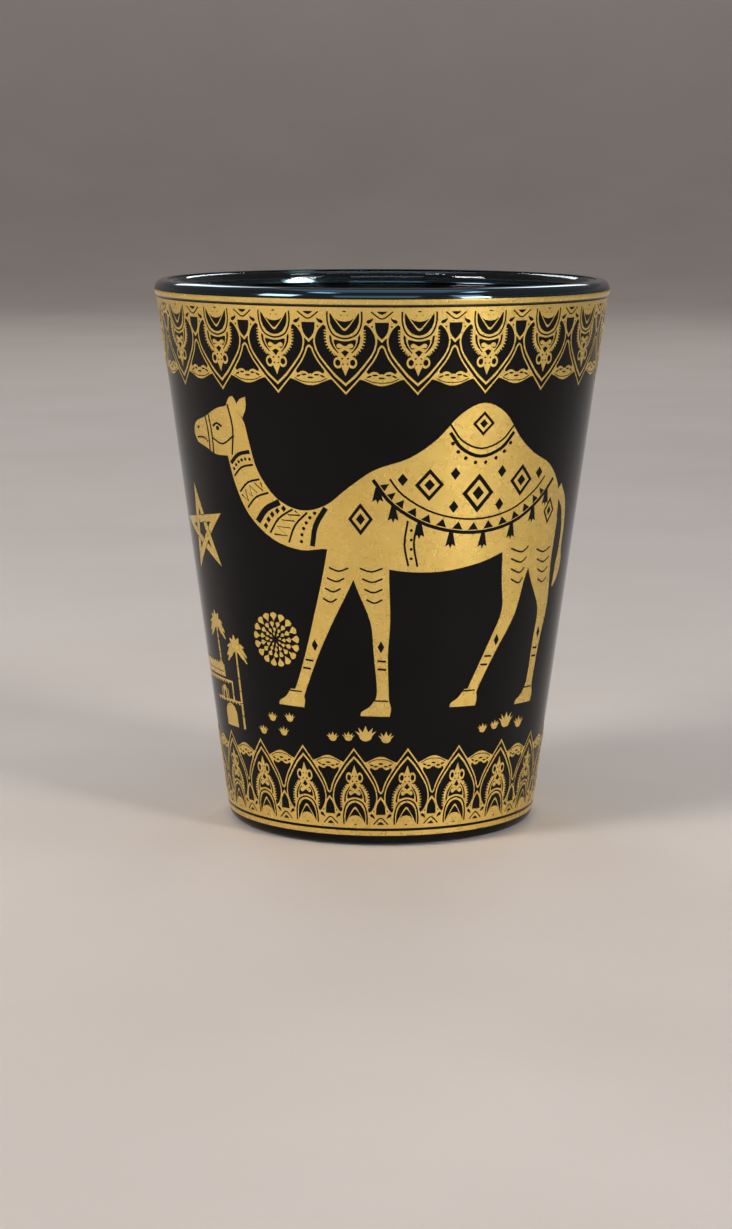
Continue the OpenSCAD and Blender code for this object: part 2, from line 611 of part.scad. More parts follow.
module palm_grove() {
    for (v = palm_place_shares)
        translate(palm_h * flat(v)) {
            polygon(palm_h * v[W] * palm_trunk_shares);
            translate([0, palm_h * v[W]])
                for (frond = palm_frond_shares)
                    polygon(palm_h * frond);
        }
    for (outline = house_shares)
        polygon(palm_h * outline);
}

module palm_groves() {
    color("gold")
        for (picture = picture_angles)
            wrapped(ground_z - over, ground_z + 2 * palm_h, picture + grove_angle,
                asin(palm_h / wall_r(ground_z)))
                translate([0, ground_z])
                    palm_grove();
}

// Tufts of grass. The places: degrees to the right of the front, height over the ground and
// the tuft's own height, both in shares of the biggest tuft's height.
tuft_places = [[-38.2, 0.95, 0.6], [-31.2, 1.05, 0.6], [-42.8, 0, 0.6], [-34, 0.1, 0.6],
    [-16, 0.05, 0.6], [-10.7, 0.1, 0.6], [-5, 0.1, 1], [1.7, 0, 0.75], [35.7, 0.3, 0.6],
    [40.8, 0.4, 0.6], [46, 0.4, 1], [53, 0.2, 0.75]];
tuft_shares = [[-0.42, 0.38], [-0.66, 0.66], [-0.36, 0.52], [-0.44, 0.88], [-0.17, 0.58],
    [0, 1], [0.17, 0.58], [0.44, 0.88], [0.36, 0.52], [0.66, 0.66], [0.42, 0.38], [0.26, 0.1],
    [0, 0], [-0.26, 0.1]];

module grass_tufts() {
    color("gold")
        for (picture = picture_angles)
            for (v = tuft_places) {
                z = ground_z + v[Y] * tuft_h;
                wrapped(z - over, z + tuft_h + over, picture + v[X], asin(tuft_h / base_r))
                    translate([0, z])
                        polygon(v[W] * tuft_h * tuft_shares);
            }
}

glass_tumbler();
black_skin();
lip_line();
upper_border();
camels();
stars();
rosettes();
palm_groves();
grass_tufts();
lower_border();
foot_line();
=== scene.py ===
import math

import bmesh
import bpy
import numpy as np
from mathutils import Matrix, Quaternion, Vector
from mathutils.geometry import delaunay_2d_cdt


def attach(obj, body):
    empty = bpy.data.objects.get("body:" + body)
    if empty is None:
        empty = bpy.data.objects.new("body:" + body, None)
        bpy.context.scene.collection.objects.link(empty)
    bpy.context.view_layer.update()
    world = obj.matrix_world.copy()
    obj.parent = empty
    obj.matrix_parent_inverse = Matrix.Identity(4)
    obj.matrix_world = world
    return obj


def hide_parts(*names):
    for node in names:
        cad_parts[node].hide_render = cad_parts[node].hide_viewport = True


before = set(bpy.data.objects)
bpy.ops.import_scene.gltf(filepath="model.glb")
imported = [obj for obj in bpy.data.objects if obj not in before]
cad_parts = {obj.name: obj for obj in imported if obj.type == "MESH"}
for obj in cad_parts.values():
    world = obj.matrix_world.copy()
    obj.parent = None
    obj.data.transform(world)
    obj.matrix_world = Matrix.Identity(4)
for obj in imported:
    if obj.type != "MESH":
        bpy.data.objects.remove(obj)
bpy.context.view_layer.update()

MM = 0.001

# Sizes of the glass, in mm, as in the CAD
GLASS_H = 80
BASE_R = 22.6           # outer radius of the wall's cone at the table
RIM_R = 33.12           # outer radius of the cone at the middle of the lip's bead
WALL_T = 2.3
FLOOR_T = 7.5
FLOOR_FILLET = 5
FOOT_FILLET = 1.5
BEAD_R = 1.45
BEAD_PROUD = 0.2        # how far the bead stands out past the cone
BEAD_END = 210          # where the bead runs into the wall inside, in degrees
RING_W = 3.6            # width of the ring that the glass stands on
PUSH_UP = 1.5           # depth of the hollow under the base

# Lacquer: its thickness, and how far it reaches round the bead and the foot, in degrees
SKIN_T = 0.12
LIP_ANGLE = 110
FOOT_ANGLE = 45
SKIN_SINK = 0.02        # how far it reaches into the glass, so that no air shows between them

# Gold: clearance over the lacquer, thickness, lines and gaps. It is thinner than in the CAD.
GOLD_SEAT = 0.02
GOLD_T = 0.03
LINE_W = 0.7
LINE_GAP = 0.2
FOOT_GAP = 2.5
PENDANTS = 20
BORDER_H = 12.1

# Steps of the turned sections' curves, and corners sharper than these, in degrees, stay sharp
BEAD_STEPS = 30
CURVE_STEPS = 14
FOOT_STEPS = 10
DOME_STEPS = 16
LINE_STEPS = 8
TURNED_SHARP = 35
PRINT_SHARP = 40
TURNED_SEG = 288        # flats round a turned piece, and round a gold line
LINE_SEG = 360
WELD = 2e-7             # points closer than this, in metres, are one

BEAD_Z = GLASS_H - BEAD_R
BEAD_X = RIM_R + BEAD_PROUD - BEAD_R
LEAN = (RIM_R - BASE_R) / BEAD_Z
LEAN_DEG = math.degrees(math.atan(LEAN))
LEAN_COS = math.cos(math.atan(LEAN))

# The crease where the wall's cone runs into the bead
BEAD_IN = BEAD_R - BEAD_PROUD
CREASE_Z = BEAD_Z - (LEAN * BEAD_IN + math.sqrt((LEAN * BEAD_IN) ** 2
    + (1 + LEAN * LEAN) * (BEAD_R ** 2 - BEAD_IN ** 2))) / (1 + LEAN * LEAN)
CREASE_DEG = math.degrees(math.asin((CREASE_Z - BEAD_Z) / BEAD_R))


def wall_r(z):
    """Outer radius of the cone at a height, in mm."""
    return BASE_R + LEAN * z


def wall_point(z, out):
    """A point of the section that stands out from the lacquer, square to the wall."""
    return (wall_r(z) + out / LEAN_COS, z)


FOOT_X = wall_r(FOOT_FILLET) - (SKIN_T + FOOT_FILLET) / LEAN_COS
RING_IN = FOOT_X - RING_W
DOME_R = (RING_IN ** 2 + PUSH_UP ** 2) / (2 * PUSH_UP)
FLOOR_Z = FLOOR_T + FLOOR_FILLET
FLOOR_X = wall_r(FLOOR_Z) - (WALL_T + FLOOR_FILLET) / LEAN_COS


# Meshes

def new_object(name, verts, faces):
    mesh = bpy.data.meshes.new(name)
    mesh.from_pydata([tuple(v) for v in verts], [], faces)
    mesh.update()
    obj = bpy.data.objects.new(name, mesh)
    bpy.context.scene.collection.objects.link(obj)
    return obj


def edit(obj, work):
    """Runs one bmesh operation on an object's mesh."""
    bm = bmesh.new()
    bm.from_mesh(obj.data)
    work(bm)
    bm.to_mesh(obj.data)
    bm.free()


def shade(obj, sharp):
    obj.data.shade_smooth()
    obj.data.set_sharp_from_angle(angle=math.radians(sharp))


def arc(cx, cz, r, a0, a1, n):
    """Points of an arc in a section, between two angles in degrees."""
    return [(cx + r * math.cos(math.radians(a0 + (a1 - a0) * i / n)),
             cz + r * math.sin(math.radians(a0 + (a1 - a0) * i / n))) for i in range(n + 1)]


def lathe(name, loop, seg=TURNED_SEG, sharp=TURNED_SHARP, closed=True):
    """A turned solid from a section's loop of (r, z) in mm. Points on the axis become poles."""
    verts, rows = [], []
    for r, z in loop:
        turns = [2 * math.pi * k / seg for k in range(seg)] if r else [0]
        rows.append([len(verts) + k for k in range(len(turns))])
        verts += [(r * MM * math.cos(t), r * MM * math.sin(t), z * MM) for t in turns]
    faces = []
    for i in range(len(rows) if closed else len(rows) - 1):
        a, b = rows[i], rows[(i + 1) % len(rows)]
        if len(a) == len(b) == 1:
            continue
        for k in range(seg):
            j = (k + 1) % seg
            if len(a) == 1:
                faces.append((a[0], b[j], b[k]))
            elif len(b) == 1:
                faces.append((a[k], a[j], b[0]))
            else:
                faces.append((a[k], a[j], b[j], b[k]))
    obj = new_object(name, verts, faces)
    edit(obj, lambda bm: bmesh.ops.recalc_face_normals(bm, faces=bm.faces))
    shade(obj, sharp)
    return obj


# Glass and lacquer

def outside(out, a0, a1):
    """Section line from the foot's rounding up the wall and over the bead. It starts and ends
    at an angle of the two roundings, and stands out from the glass."""
    foot = arc(FOOT_X, FOOT_FILLET, FOOT_FILLET + out, a0, -LEAN_DEG, FOOT_STEPS)
    heights = np.linspace(foot[-1][1], CREASE_Z, CURVE_STEPS)[1:-1]
    wall = [wall_point(z, out - SKIN_T) for z in heights]
    return foot + wall + arc(BEAD_X, BEAD_Z, BEAD_R - SKIN_T + out, CREASE_DEG, a1, BEAD_STEPS)


def dome(out):
    """The hollow under the base, from its edge to the axis."""
    edge = math.degrees(math.acos(RING_IN / DOME_R))
    line = arc(0, PUSH_UP - DOME_R, DOME_R - out, edge, 90, DOME_STEPS)
    return line[:-1] + [(0, line[-1][1])]


def make_glass():
    out = outside(0, -90, BEAD_END)
    inner_x = wall_r(BEAD_Z) - WALL_T / LEAN_COS
    heights = np.linspace(out[-1][1], FLOOR_Z, CURVE_STEPS)[1:-1]
    inner = [(inner_x - LEAN * (BEAD_Z - z), z) for z in heights]
    fillet = arc(FLOOR_X, FLOOR_Z, FLOOR_FILLET, -LEAN_DEG, -90, CURVE_STEPS)
    hollow = dome(0)[::-1][:-1]
    return lathe("glass", [(RING_IN, 0)] + out + inner + fillet + [(0, FLOOR_T)] + hollow)


def make_lacquer():
    """The wall's coat and the lip's, which meet in the crease under the gold line, and the
    patch in the hollow under the base."""
    face = outside(SKIN_T, -FOOT_ANGLE, LIP_ANGLE)
    back = outside(-SKIN_SINK, -FOOT_ANGLE, LIP_ANGLE)
    wall = lathe("lacquer_wall", face[:-BEAD_STEPS] + back[:-BEAD_STEPS][::-1])
    lip = lathe("lacquer_lip", face[-BEAD_STEPS - 1:] + back[-BEAD_STEPS - 1:][::-1])
    high = [(r, z + SKIN_SINK) for r, z in dome(0)]
    low = [(r, z) for r, z in dome(SKIN_T) if z > SKIN_T]
    patch = lathe("lacquer_base", high + low[::-1])
    return wall, lip, patch


# Flat art. A layer is a sign and an outline: +1 lays gold and -1 takes it off, in the order
# of the list.
STEP_DEG = 3.0          # upright lines this far apart keep the triangles short round the wall
LINE_OVER = 0.1         # how far these lines reach past the art, in mm
SAME_POINT = 1e-5       # tolerances, in mm and square mm. The first is also one for a seam's share.
SAME_LINE = 1e-6
NO_AREA = 1e-9


def smooth(p, n=4):
    """A smooth curve through points, with n steps from each point to the next."""
    p = [np.array(q, float) for q in p]
    q = [2 * p[0] - p[1]] + p + [2 * p[-1] - p[-2]]
    out = []
    for a, b, c, d in zip(q, q[1:], q[2:], q[3:]):
        for t in np.arange(n) / n:
            out.append(0.5 * (2 * b + (c - a) * t + (2 * a - 5 * b + 4 * c - d) * t * t
                              + (3 * b - a - 3 * c + d) * t ** 3))
    return np.array(out + [p[-1]])


def side(p):
    """Unit directions to the left of a line, at each of its points."""
    t = np.gradient(p, axis=0)
    t /= np.linalg.norm(t, axis=1)[:, None] + 1e-12
    return np.stack([-t[:, 1], t[:, 0]], 1)


def both_sides(p, s):
    return np.vstack([p + s, (p - s)[::-1]])


def ribbon(p, w, n=4):
    """Outline of a line of one width. It is smoothed where n is over 1."""
    p = smooth(p, n) if n > 1 and len(p) > 2 else np.array(p, float)
    return both_sides(p, side(p) * w / 2)


def limb(points):
    """Outline of a smooth stroke through (x, y, width)."""
    c = smooth(points)
    return both_sides(c[:, :2], side(c[:, :2]) * c[:, 2:] / 2)


def turned(p, degrees):
    """Points turned anticlockwise about (0, 0)."""
    c, s = math.cos(math.radians(degrees)), math.sin(math.radians(degrees))
    return np.asarray(p, float) @ np.array([[c, s], [-s, c]])


def at(r, degrees):
    """A point at a distance from (0, 0), in degrees clockwise from straight up."""
    return r * np.array([math.sin(math.radians(degrees)), math.cos(math.radians(degrees))])


def disc(x, y, rx, ry=None, n=10, turn=0):
    t = np.linspace(0, 2 * np.pi, n, endpoint=False)
    ring = np.stack([rx * np.cos(t), (ry or rx) * np.sin(t)], 1)
    return turned(ring, turn) + [x, y]


def mirror(p):
    return np.array(p, float) * [-1, 1]


def both(p):
    """Right half outline, from the outside to the middle line, made whole."""
    p = np.array(p, float)
    return np.vstack([p, mirror(p[:-1])[::-1]])


def inside(outline, points):
    """Which of the points lie inside an outline, by counting its crossings to their right."""
    hit = np.zeros(len(points), bool)
    lo, hi = outline.min(0), outline.max(0)
    near = ((points >= lo) & (points <= hi)).all(1)
    x, y = points[near].T
    odd = np.zeros(len(x), bool)
    for (ax, ay), (bx, by) in zip(outline, np.roll(outline, -1, 0)):
        if ay != by:
            odd ^= ((ay > y) != (by > y)) & (x < (bx - ax) * (y - ay) / (by - ay) + ax)
    hit[near] = odd
    return hit


def used_only(v, f):
    """Leaves out the points that no triangle uses."""
    used = np.unique(f)
    place_of = np.zeros(len(v), int)
    place_of[used] = np.arange(len(used))
    return v[used], place_of[f]


def painted(layers, step):
    """Points and triangles of the gold that the layers leave, with upright lines at each step
    across."""
    layers = [(sign, np.asarray(outline, float)) for sign, outline in layers]
    points, edges = [], []
    for _, outline in layers:
        first = len(points)
        gap = np.linalg.norm(outline - np.roll(outline, 1, 0), axis=1)
        kept = outline[gap > SAME_POINT]
        points += [Vector(q) for q in kept]
        edges += [(first + i, first + (i + 1) % len(kept)) for i in range(len(kept))]
    everything = np.vstack([outline for _, outline in layers])
    lo, hi = everything.min(0), everything.max(0)
    x = math.ceil((lo[0] + SAME_LINE) / step) * step
    while x < hi[0]:
        edges.append((len(points), len(points) + 1))
        points += [Vector((x, lo[1] - LINE_OVER)), Vector((x, hi[1] + LINE_OVER))]
        x += step
    v, _, f, *_ = delaunay_2d_cdt(points, edges, [], 0, SAME_LINE)
    v = np.array([tuple(q) for q in v])
    f = np.array([t for t in f if len(t) == 3])
    middle = v[f].mean(1)
    gold = np.zeros(len(f), bool)
    for sign, outline in layers:
        gold[inside(outline, middle)] = sign > 0
    a, b = v[f[:, 1]] - v[f[:, 0]], v[f[:, 2]] - v[f[:, 0]]
    area = a[:, 0] * b[:, 1] - a[:, 1] * b[:, 0]
    f[area < 0] = f[area < 0][:, ::-1]
    return used_only(v, f[gold & (np.abs(area) > NO_AREA)])


def film(name, parts, seam=0):
    """A thin closed solid on the wall. A part is its points, as [angle in degrees, z in mm],
    and its triangles. Parts that meet at the multiples of a seam angle run on there without
    an edge wall between them."""
    verts, faces = [], []
    for v, f in parts:
        n = len(v)
        base = len(verts)
        t = np.radians(v[:, 0])
        for out in (GOLD_SEAT + GOLD_T, GOLD_SEAT):
            r = wall_r(v[:, 1]) + out / LEAN_COS
            verts += list(np.stack([r * np.sin(t), -r * np.cos(t), v[:, 1]], 1) * MM)
        faces += [tuple(base + i for i in tri) for tri in f]
        faces += [tuple(base + n + i for i in tri[::-1]) for tri in f]
        edges = np.vstack([f[:, [0, 1]], f[:, [1, 2]], f[:, [2, 0]]])
        shared = {(a, b) for a, b in edges}
        share = v[:, 0] / seam if seam else np.full(n, 0.5)
        on_seam = np.abs(share - np.round(share)) < SAME_POINT
        for a, b in edges:
            if (b, a) not in shared and not (on_seam[a] and on_seam[b]):
                faces.append((base + b, base + a, base + n + a, base + n + b))
    obj = new_object(name, verts, faces)
    edit(obj, lambda bm: bmesh.ops.remove_doubles(bm, verts=bm.verts, dist=WELD))
    shade(obj, PRINT_SHARP)
    return obj


# Lace borders. A point is degrees from the pendant's middle, and mm from the border's start
# towards the pendant's point. Outlines reach a little past the pendant's share of the ring.
HALF_PENDANT = 180 / PENDANTS
BORDER_MID = 6          # height in the border at which degrees are turned into mm
UPPER_LINE_SHARE = 0.78     # how wide the gold lines are, as a share of the widths below
LOWER_LINE_SHARE = 0.7
FRINGE_LENGTH = 0.36
FRINGE_ROOT = 0.1           # half widths of a fringe's ray
FRINGE_TIP = 0.045


def lace_layers(k, z0, way, line_share):
    """One pendant. k is the length of a degree, z0 the border's start and way its direction."""
    out = []

    def laid(p):
        p = np.array(p, float)
        return np.stack([p[:, 0] * k, z0 + way * p[:, 1]], 1)

    def whole(sign, p):
        out.append((sign, laid(both(p))))

    def twins(sign, p):
        out.append((sign, laid(p)))
        out.append((sign, laid(mirror(p))))

    def line(sign, p, w, n=4):
        out.append((sign, ribbon(laid(p), w * line_share if sign > 0 else w, n)))

    def dots(sign, x, y, rx, ry, turn=0, n=10):
        for s in (1, -1) if x else (1,):
            out.append((sign, disc(*laid([(s * x, y)])[0], rx * k, ry, n, s * way * turn)))

    whole(1, [(9.4, 0.2), (9.4, 10.98), (8.2, 10.94), (7.0, 10.76), (6.0, 10.52), (5.0, 10.3),
              (4.2, 10.15), (3.45, 10.06), (0, 12.22)])
    # bell between two pendants, down to the swag's scallops
    twins(-1, [(9.4, 5.62), (9, 5.62), (8.55, 5.85), (8.1, 6.5), (7.1, 7.55), (5.7, 8.62),
               (5.25, 8.98), (5.45, 9.26), (5.95, 9.28), (6.4, 9.1), (7.0, 9.0), (7.7, 9.06),
               (8.2, 9.22), (8.6, 9.42), (9, 9.3), (9.4, 9.42)])
    # channel between the two lines of the heart
    whole(-1, [(9.4, 4.98), (9.4, 5.4), (9, 5.45), (8.4, 5.75), (7.9, 6.5), (6.9, 7.55),
               (5.4, 8.65), (3.8, 9.75), (1.9, 10.9), (0, 12.0)])
    twins(-1, [(9.4, 5.2), (9.4, 5.02), (9, 5.02), (8.1, 4.5), (7.4, 4.4), (7.4, 5.2)])
    heart = [(9.4, 5.45), (9, 5.45), (8.4, 5.75), (7.9, 6.5), (6.9, 7.55), (5.4, 8.65),
             (3.8, 9.75), (1.9, 10.9), (0, 12.0)]
    line(1, heart, 0.27, 3)
    line(1, mirror(heart), 0.27, 3)
    whole(1, [(6.0, 2.2), (6.6, 2.85), (7.6, 3.9), (7.87, 4.95), (7.45, 6.05), (6.5, 7.05),
              (4.75, 8.35), (2.65, 9.75), (0, 11.02)])
    field = smooth([(4.75, 2.75), (5.2, 2.58), (6.3, 3.12), (7.2, 4.05), (7.42, 4.95),
                    (7.02, 5.98), (6.15, 6.88), (4.5, 8.08), (2.4, 9.43), (0, 10.62)], 3)
    field[-1] = (0, 10.62)
    whole(-1, field)
    # wings: the line that carries the fringe, the fringe, the scrolls, rings and spear
    whole(1, [(4.78, 0.7), (4.82, 2.0), (4.6, 2.9), (4.55, 3.6), (4.62, 4.3), (4.45, 5.1),
              (3.95, 5.8), (3.0, 6.35), (2.3, 6.7), (1.6, 7.0), (0.9, 7.3), (0.8, 8.2),
              (0.95, 8.45), (0.6, 8.8), (0, 9.62)])
    fringe = [(4.6, 3.35), (4.62, 4.1), (4.52, 4.9), (4.0, 5.7), (3.0, 6.3), (2.35, 6.62)]
    roots = laid(smooth(fringe, 2))
    rays = side(roots)
    heart_middle = laid([(0, 5)])[0]
    half_way = len(roots) // 2
    if rays[half_way] @ (roots[half_way] - heart_middle) < 0:
        rays = -rays
    for q, ray in zip(roots, rays):
        along = np.array([ray[1], -ray[0]])
        tip = q + ray * FRINGE_LENGTH * line_share
        spike = np.array([q + along * FRINGE_ROOT, tip + along * FRINGE_TIP,
                          tip - along * FRINGE_TIP, q - along * FRINGE_ROOT])
        out += [(1, spike), (1, mirror(spike))]
    dots(1, 1.8, 7.78, 1.15, 0.8, n=14)
    dots(-1, 1.85, 7.78, 0.66, 0.45, n=11)
    whole(1, [(1.15, 6.9), (1.15, 7.5), (0.85, 8.0), (0.9, 8.45), (0.6, 8.8), (0, 9.6)])
    dots(-1, 0.72, 7.22, 0.3, 0.13, 20, n=8)
    dots(-1, 0.55, 7.98, 0.26, 0.11, -20, n=8)
    twins(-1, [(3.6, 3.75), (3.85, 4.3), (3.6, 5.1), (3.05, 5.72), (2.35, 6.15), (1.75, 6.5),
               (1.5, 6.42), (2.15, 5.98), (2.75, 5.45), (3.15, 4.85), (3.25, 4.2)])
    whole(-1, [(2.75, 4.62), (2.72, 5.05), (2.4, 5.5), (1.95, 5.88), (1.5, 5.98), (1.1, 5.82),
               (0, 5.78)])
    dots(1, 1.42, 5.46, 0.66, 0.32, n=10)
    whole(1, [(1.3, 5.3), (1.3, 5.74), (0.6, 5.8), (0, 5.85)])
    twins(-1, [(0.28, 5.05), (0.75, 5.12), (0.6, 5.4), (0, 5.52), (0, 5.05)])
    whole(-1, [(0, 6.03), (0.98, 6.33), (0.35, 6.75), (0, 7.0)])
    # half-moon, with its dome and the V under it
    u_gold = both([(4.6, 0.9), (4.62, 2.0), (4.3, 2.9), (3.6, 3.8), (2.4, 4.45), (0, 4.74)])
    line(1, u_gold, 0.25)
    u_dark = both([(4.15, 0.75), (4.2, 1.5), (4.1, 2.3), (3.55, 3.3), (2.4, 4.08), (0, 4.46)])
    line(-1, u_dark, 0.24)
    whole(-1, [(3.55, 1.0), (3.6, 1.5), (3.5, 2.25), (3.0, 2.98), (2.1, 3.62), (1.0, 3.96),
               (0, 4.05)])
    whole(1, [(3.7, 0.75), (3.25, 1.1), (2.6, 1.72), (1.6, 2.5), (0.5, 3.28), (0, 3.42)])
    whole(-1, [(2.3, 1.72), (1.2, 2.55), (0.35, 3.02), (0, 3.08)])
    whole(1, [(2.6, 1.3), (2.2, 1.72), (1.3, 2.02), (0, 2.14)])
    dots(-1, 0, 0.74, 0.5, 0.1, n=8)
    dots(-1, 0.75, 1.3, 0.16, 0.09, n=6)
    # between two pendants: shield, small arch, leaf
    twins(-1, [(9.4, 2.25), (7.3, 2.25), (7.4, 3.1), (7.7, 3.7), (8.25, 4.18), (9, 4.58),
               (9.4, 4.58)])
    twins(-1, [(9.4, 0.74), (7.75, 0.74), (8.2, 1.0), (9, 1.2), (9.4, 1.2)])
    for s in (1, -1):
        line(-1, [(s * 6.4, 0.78), (s * 7.6, 1.33), (s * 8.4, 1.66), (s * 9, 1.74),
                  (s * 9.4, 1.74)], 0.2, 3)
        line(-1, [(s * 4.75, 9.98), (s * 6.2, 10.36), (s * 7.6, 10.52), (s * 9.4, 10.56)],
             0.13, 3)
    twins(-1, [(5.15, 2.2), (5.6, 1.9), (6.2, 1.82), (6.95, 1.6), (6.8, 1.95), (6.3, 2.28),
               (5.7, 2.42)])
    dots(-1, 6.62, 2.82, 0.24, 0.14, n=7)
    dots(-1, 9, 9.9, 0.85, 0.14, n=8)
    dots(-1, 7.35, 9.5, 0.72, 0.14, n=8)
    dots(-1, 5.85, 9.7, 0.72, 0.13, -22, n=8)
    return out


def make_border(name, z0, way, line_share):
    k = math.radians(wall_r(z0 + way * BORDER_MID))
    v, f = painted(lace_layers(k, z0, way, line_share), STEP_DEG * k)
    v, f = used_only(v, f[np.abs(v[f].mean(1)[:, 0]) < HALF_PENDANT * k])
    v[:, 0] = np.clip(v[:, 0] / k, -HALF_PENDANT, HALF_PENDANT)
    parts = [(v + [HALF_PENDANT * (2 * i + 1), 0], f) for i in range(PENDANTS)]
    return film(name, parts, seam=2 * HALF_PENDANT)


# Camels: a generic dromedary in kilim dress. A point is mm from its nose (x) and from its
# feet (y). It stands at a height on the wall, with its nose at an angle from the front.
CAMEL_Z = 19.4
CAMEL_TURN = -61.0
CAMEL_MID = 22.5        # height in the camel at which mm are turned into degrees
HEAD = [(0.7, 38.0), (0.0, 39.3), (0.8, 40.9), (3.4, 41.9), (6.0, 43.2), (8.0, 43.7)]
EAR = [(8.0, 43.7), (8.7, 44.9), (9.4, 45.2)]
EAR_BACK = [(9.4, 45.2), (9.9, 44.4), (9.9, 43.2)]
BACK = [(9.9, 43.2), (11.0, 41.6), (11.6, 38.6), (12.6, 34.8), (15.2, 31.2), (18.8, 29.6),
        (22.4, 30.4), (25.6, 33.0), (29.2, 35.6), (33.6, 37.2), (37.2, 39.8), (40.2, 43.2),
        (43.4, 44.7), (46.6, 43.2), (49.4, 39.6), (52.2, 37.2), (56.0, 35.2), (58.8, 32.0),
        (59.8, 28.0), (59.6, 24.6), (57.6, 21.6)]
BELLY = [(57.6, 21.6), (53.6, 22.4), (49.4, 23.4), (44.6, 22.0), (38.6, 21.0), (32.6, 21.2),
         (28.4, 22.2), (25.0, 22.6), (22.6, 24.2), (18.6, 23.9), (14.2, 25.2), (10.4, 28.4),
         (8.4, 32.4), (7.4, 36.6)]
JAW = [(7.4, 36.6), (5.0, 36.6), (2.8, 37.4), (0.7, 38.0)]
FAR_EAR = [[(9.6, 43.6), (10.6, 44.8), (11.6, 45.2)], [(11.6, 45.2), (11.5, 43.6), (10.8, 42.2)],
           [(10.8, 42.2), (9.6, 43.6)]]
# Legs: middle line from the hip to the ankle, and widths
LEGS = [([(25.6, 25.5), (23.6, 19.6), (21.4, 14.0), (19.4, 9.0), (17.4, 4.2), (16.4, 2.2)],
         [5.6, 4.2, 2.9, 2.0, 1.7, 2.0]),
        ([(27.8, 25.0), (28.8, 19.4), (29.9, 14.0), (30.0, 9.0), (30.3, 4.0), (30.2, 2.0)],
         [6.6, 4.8, 2.9, 2.1, 1.8, 2.2]),
        ([(52.0, 25.6), (51.0, 19.8), (50.6, 14.4), (48.0, 9.4), (45.4, 4.4), (44.6, 2.4)],
         [8.0, 5.0, 2.9, 2.0, 1.7, 2.0]),
        ([(56.0, 26.4), (57.0, 20.4), (59.0, 14.4), (58.4, 9.2), (58.0, 4.2), (57.7, 2.2)],
         [8.2, 5.8, 3.0, 2.1, 1.8, 2.2])]
# Tail: middle line and widths
TAIL = [(59.2, 31.4, 2.0), (61.4, 29.0, 1.4), (62.4, 25.6, 1.0), (62.5, 22.4, 1.0),
        (62.6, 20.4, 2.0), (62.2, 18.4, 1.6), (61.4, 16.8, 0.4)]
# Bands across the neck, from the nape to the throat, and their widths
NECK = [((11.8, 37.6), (7.6, 35.4), 0.55), ((12.2, 35.8), (8.0, 33.6), 0.3),
        ((13.1, 33.8), (8.8, 31.4), 0.3), ((14.4, 32.0), (10.0, 29.2), 0.3),
        ((16.0, 30.8), (11.6, 27.3), 0.9), ((17.9, 29.9), (13.6, 25.8), 0.3),
        ((20.0, 29.6), (16.6, 24.6), 0.3), ((22.6, 30.4), (20.2, 24.2), 0.75)]
# A foot's outline and the line over it, about the middle of its sole
FEET = [(16.3, 0.9), (30.2, 0.0), (44.5, 1.0), (57.8, 0.1)]
FOOT = [[(-1, 2.6), (-2, 1.4), (-3.2, 0.7), (-3.4, 0.1)], [(-3.4, 0.1), (1.2, 0)],
        [(1.2, 0), (1.4, 1.2), (1, 2.6)], [(1, 2.6), (-1, 2.6)]]
FETLOCK = [(-1.2, 2.35), (0.95, 2.3)]
FETLOCK_W = 0.22
# Blanket's hem over the flank, and the saddle cap's hem on the hump
HEM = [(28.9, 34.2), (31.6, 30.6), (36.6, 27.6), (43.0, 26.4), (49.4, 27.4), (54.4, 30.2),
       (57.3, 33.1)]
CAP = [(38.9, 40.7), (40.6, 38.4), (43.4, 37.2), (46.4, 38.2), (48.3, 40.4)]
TASSEL = [(-0.3, -0.15), (0.3, -0.15), (0.75, -2.2), (0.25, -1.9), (0, -2.5), (-0.25, -1.9),
          (-0.75, -2.2)]
# Lozenges: middle, half width, half height. The big ones have a gold one and a dark one inside.
BIG_LOZENGES = [(43.5, 41.8, 1.6, 1.75), (36.4, 33.4, 2.0, 2.3), (43.4, 32.0, 2.4, 2.8),
                (50.4, 33.4, 2.0, 2.3), (27.2, 28.6, 1.7, 2.3), (57.2, 28.4, 1.3, 2.0)]
SMALL_LOZENGES = [(32.8, 34.2), (39.9, 34.9), (46.9, 34.9), (53.8, 34.2), (39.9, 30.2),
                  (46.9, 30.2)]
SHIN_LOZENGES = [(19.9, 10.2), (30.0, 10.2), (48.7, 10.4), (58.7, 10.4)]
BRACELETS = [(18.9, 8.0), (18.4, 6.8), (30.1, 8.2), (30.15, 7.0), (47.3, 8.2), (46.7, 7.0),
             (58.3, 8.2), (58.2, 7.0)]
BRACELET_W = 1.3
# Widths of the marks: hair, fine, hem
HAIR_W = 0.26
FINE_W = 0.3
HEM_W = 0.5


def chain(strokes, n):
    """A closed outline of smooth strokes that meet in corners."""
    return np.vstack([(smooth(p, n) if len(p) > 2 else np.array(p, float))[:-1] for p in strokes])


def neck_row(nape, throat, n, inset=0.7, bow=0.5):
    """n places across the neck, on a line that bows towards the head."""
    a, b = np.array(nape, float), np.array(throat, float)
    length = np.linalg.norm(b - a)
    v = (b - a) / length
    left = np.array([-v[1], v[0]])
    return [a + v * (inset + (length - 2 * inset) * t) - left * bow * 4 * t * (1 - t)
            for t in np.linspace(0, 1, n)]


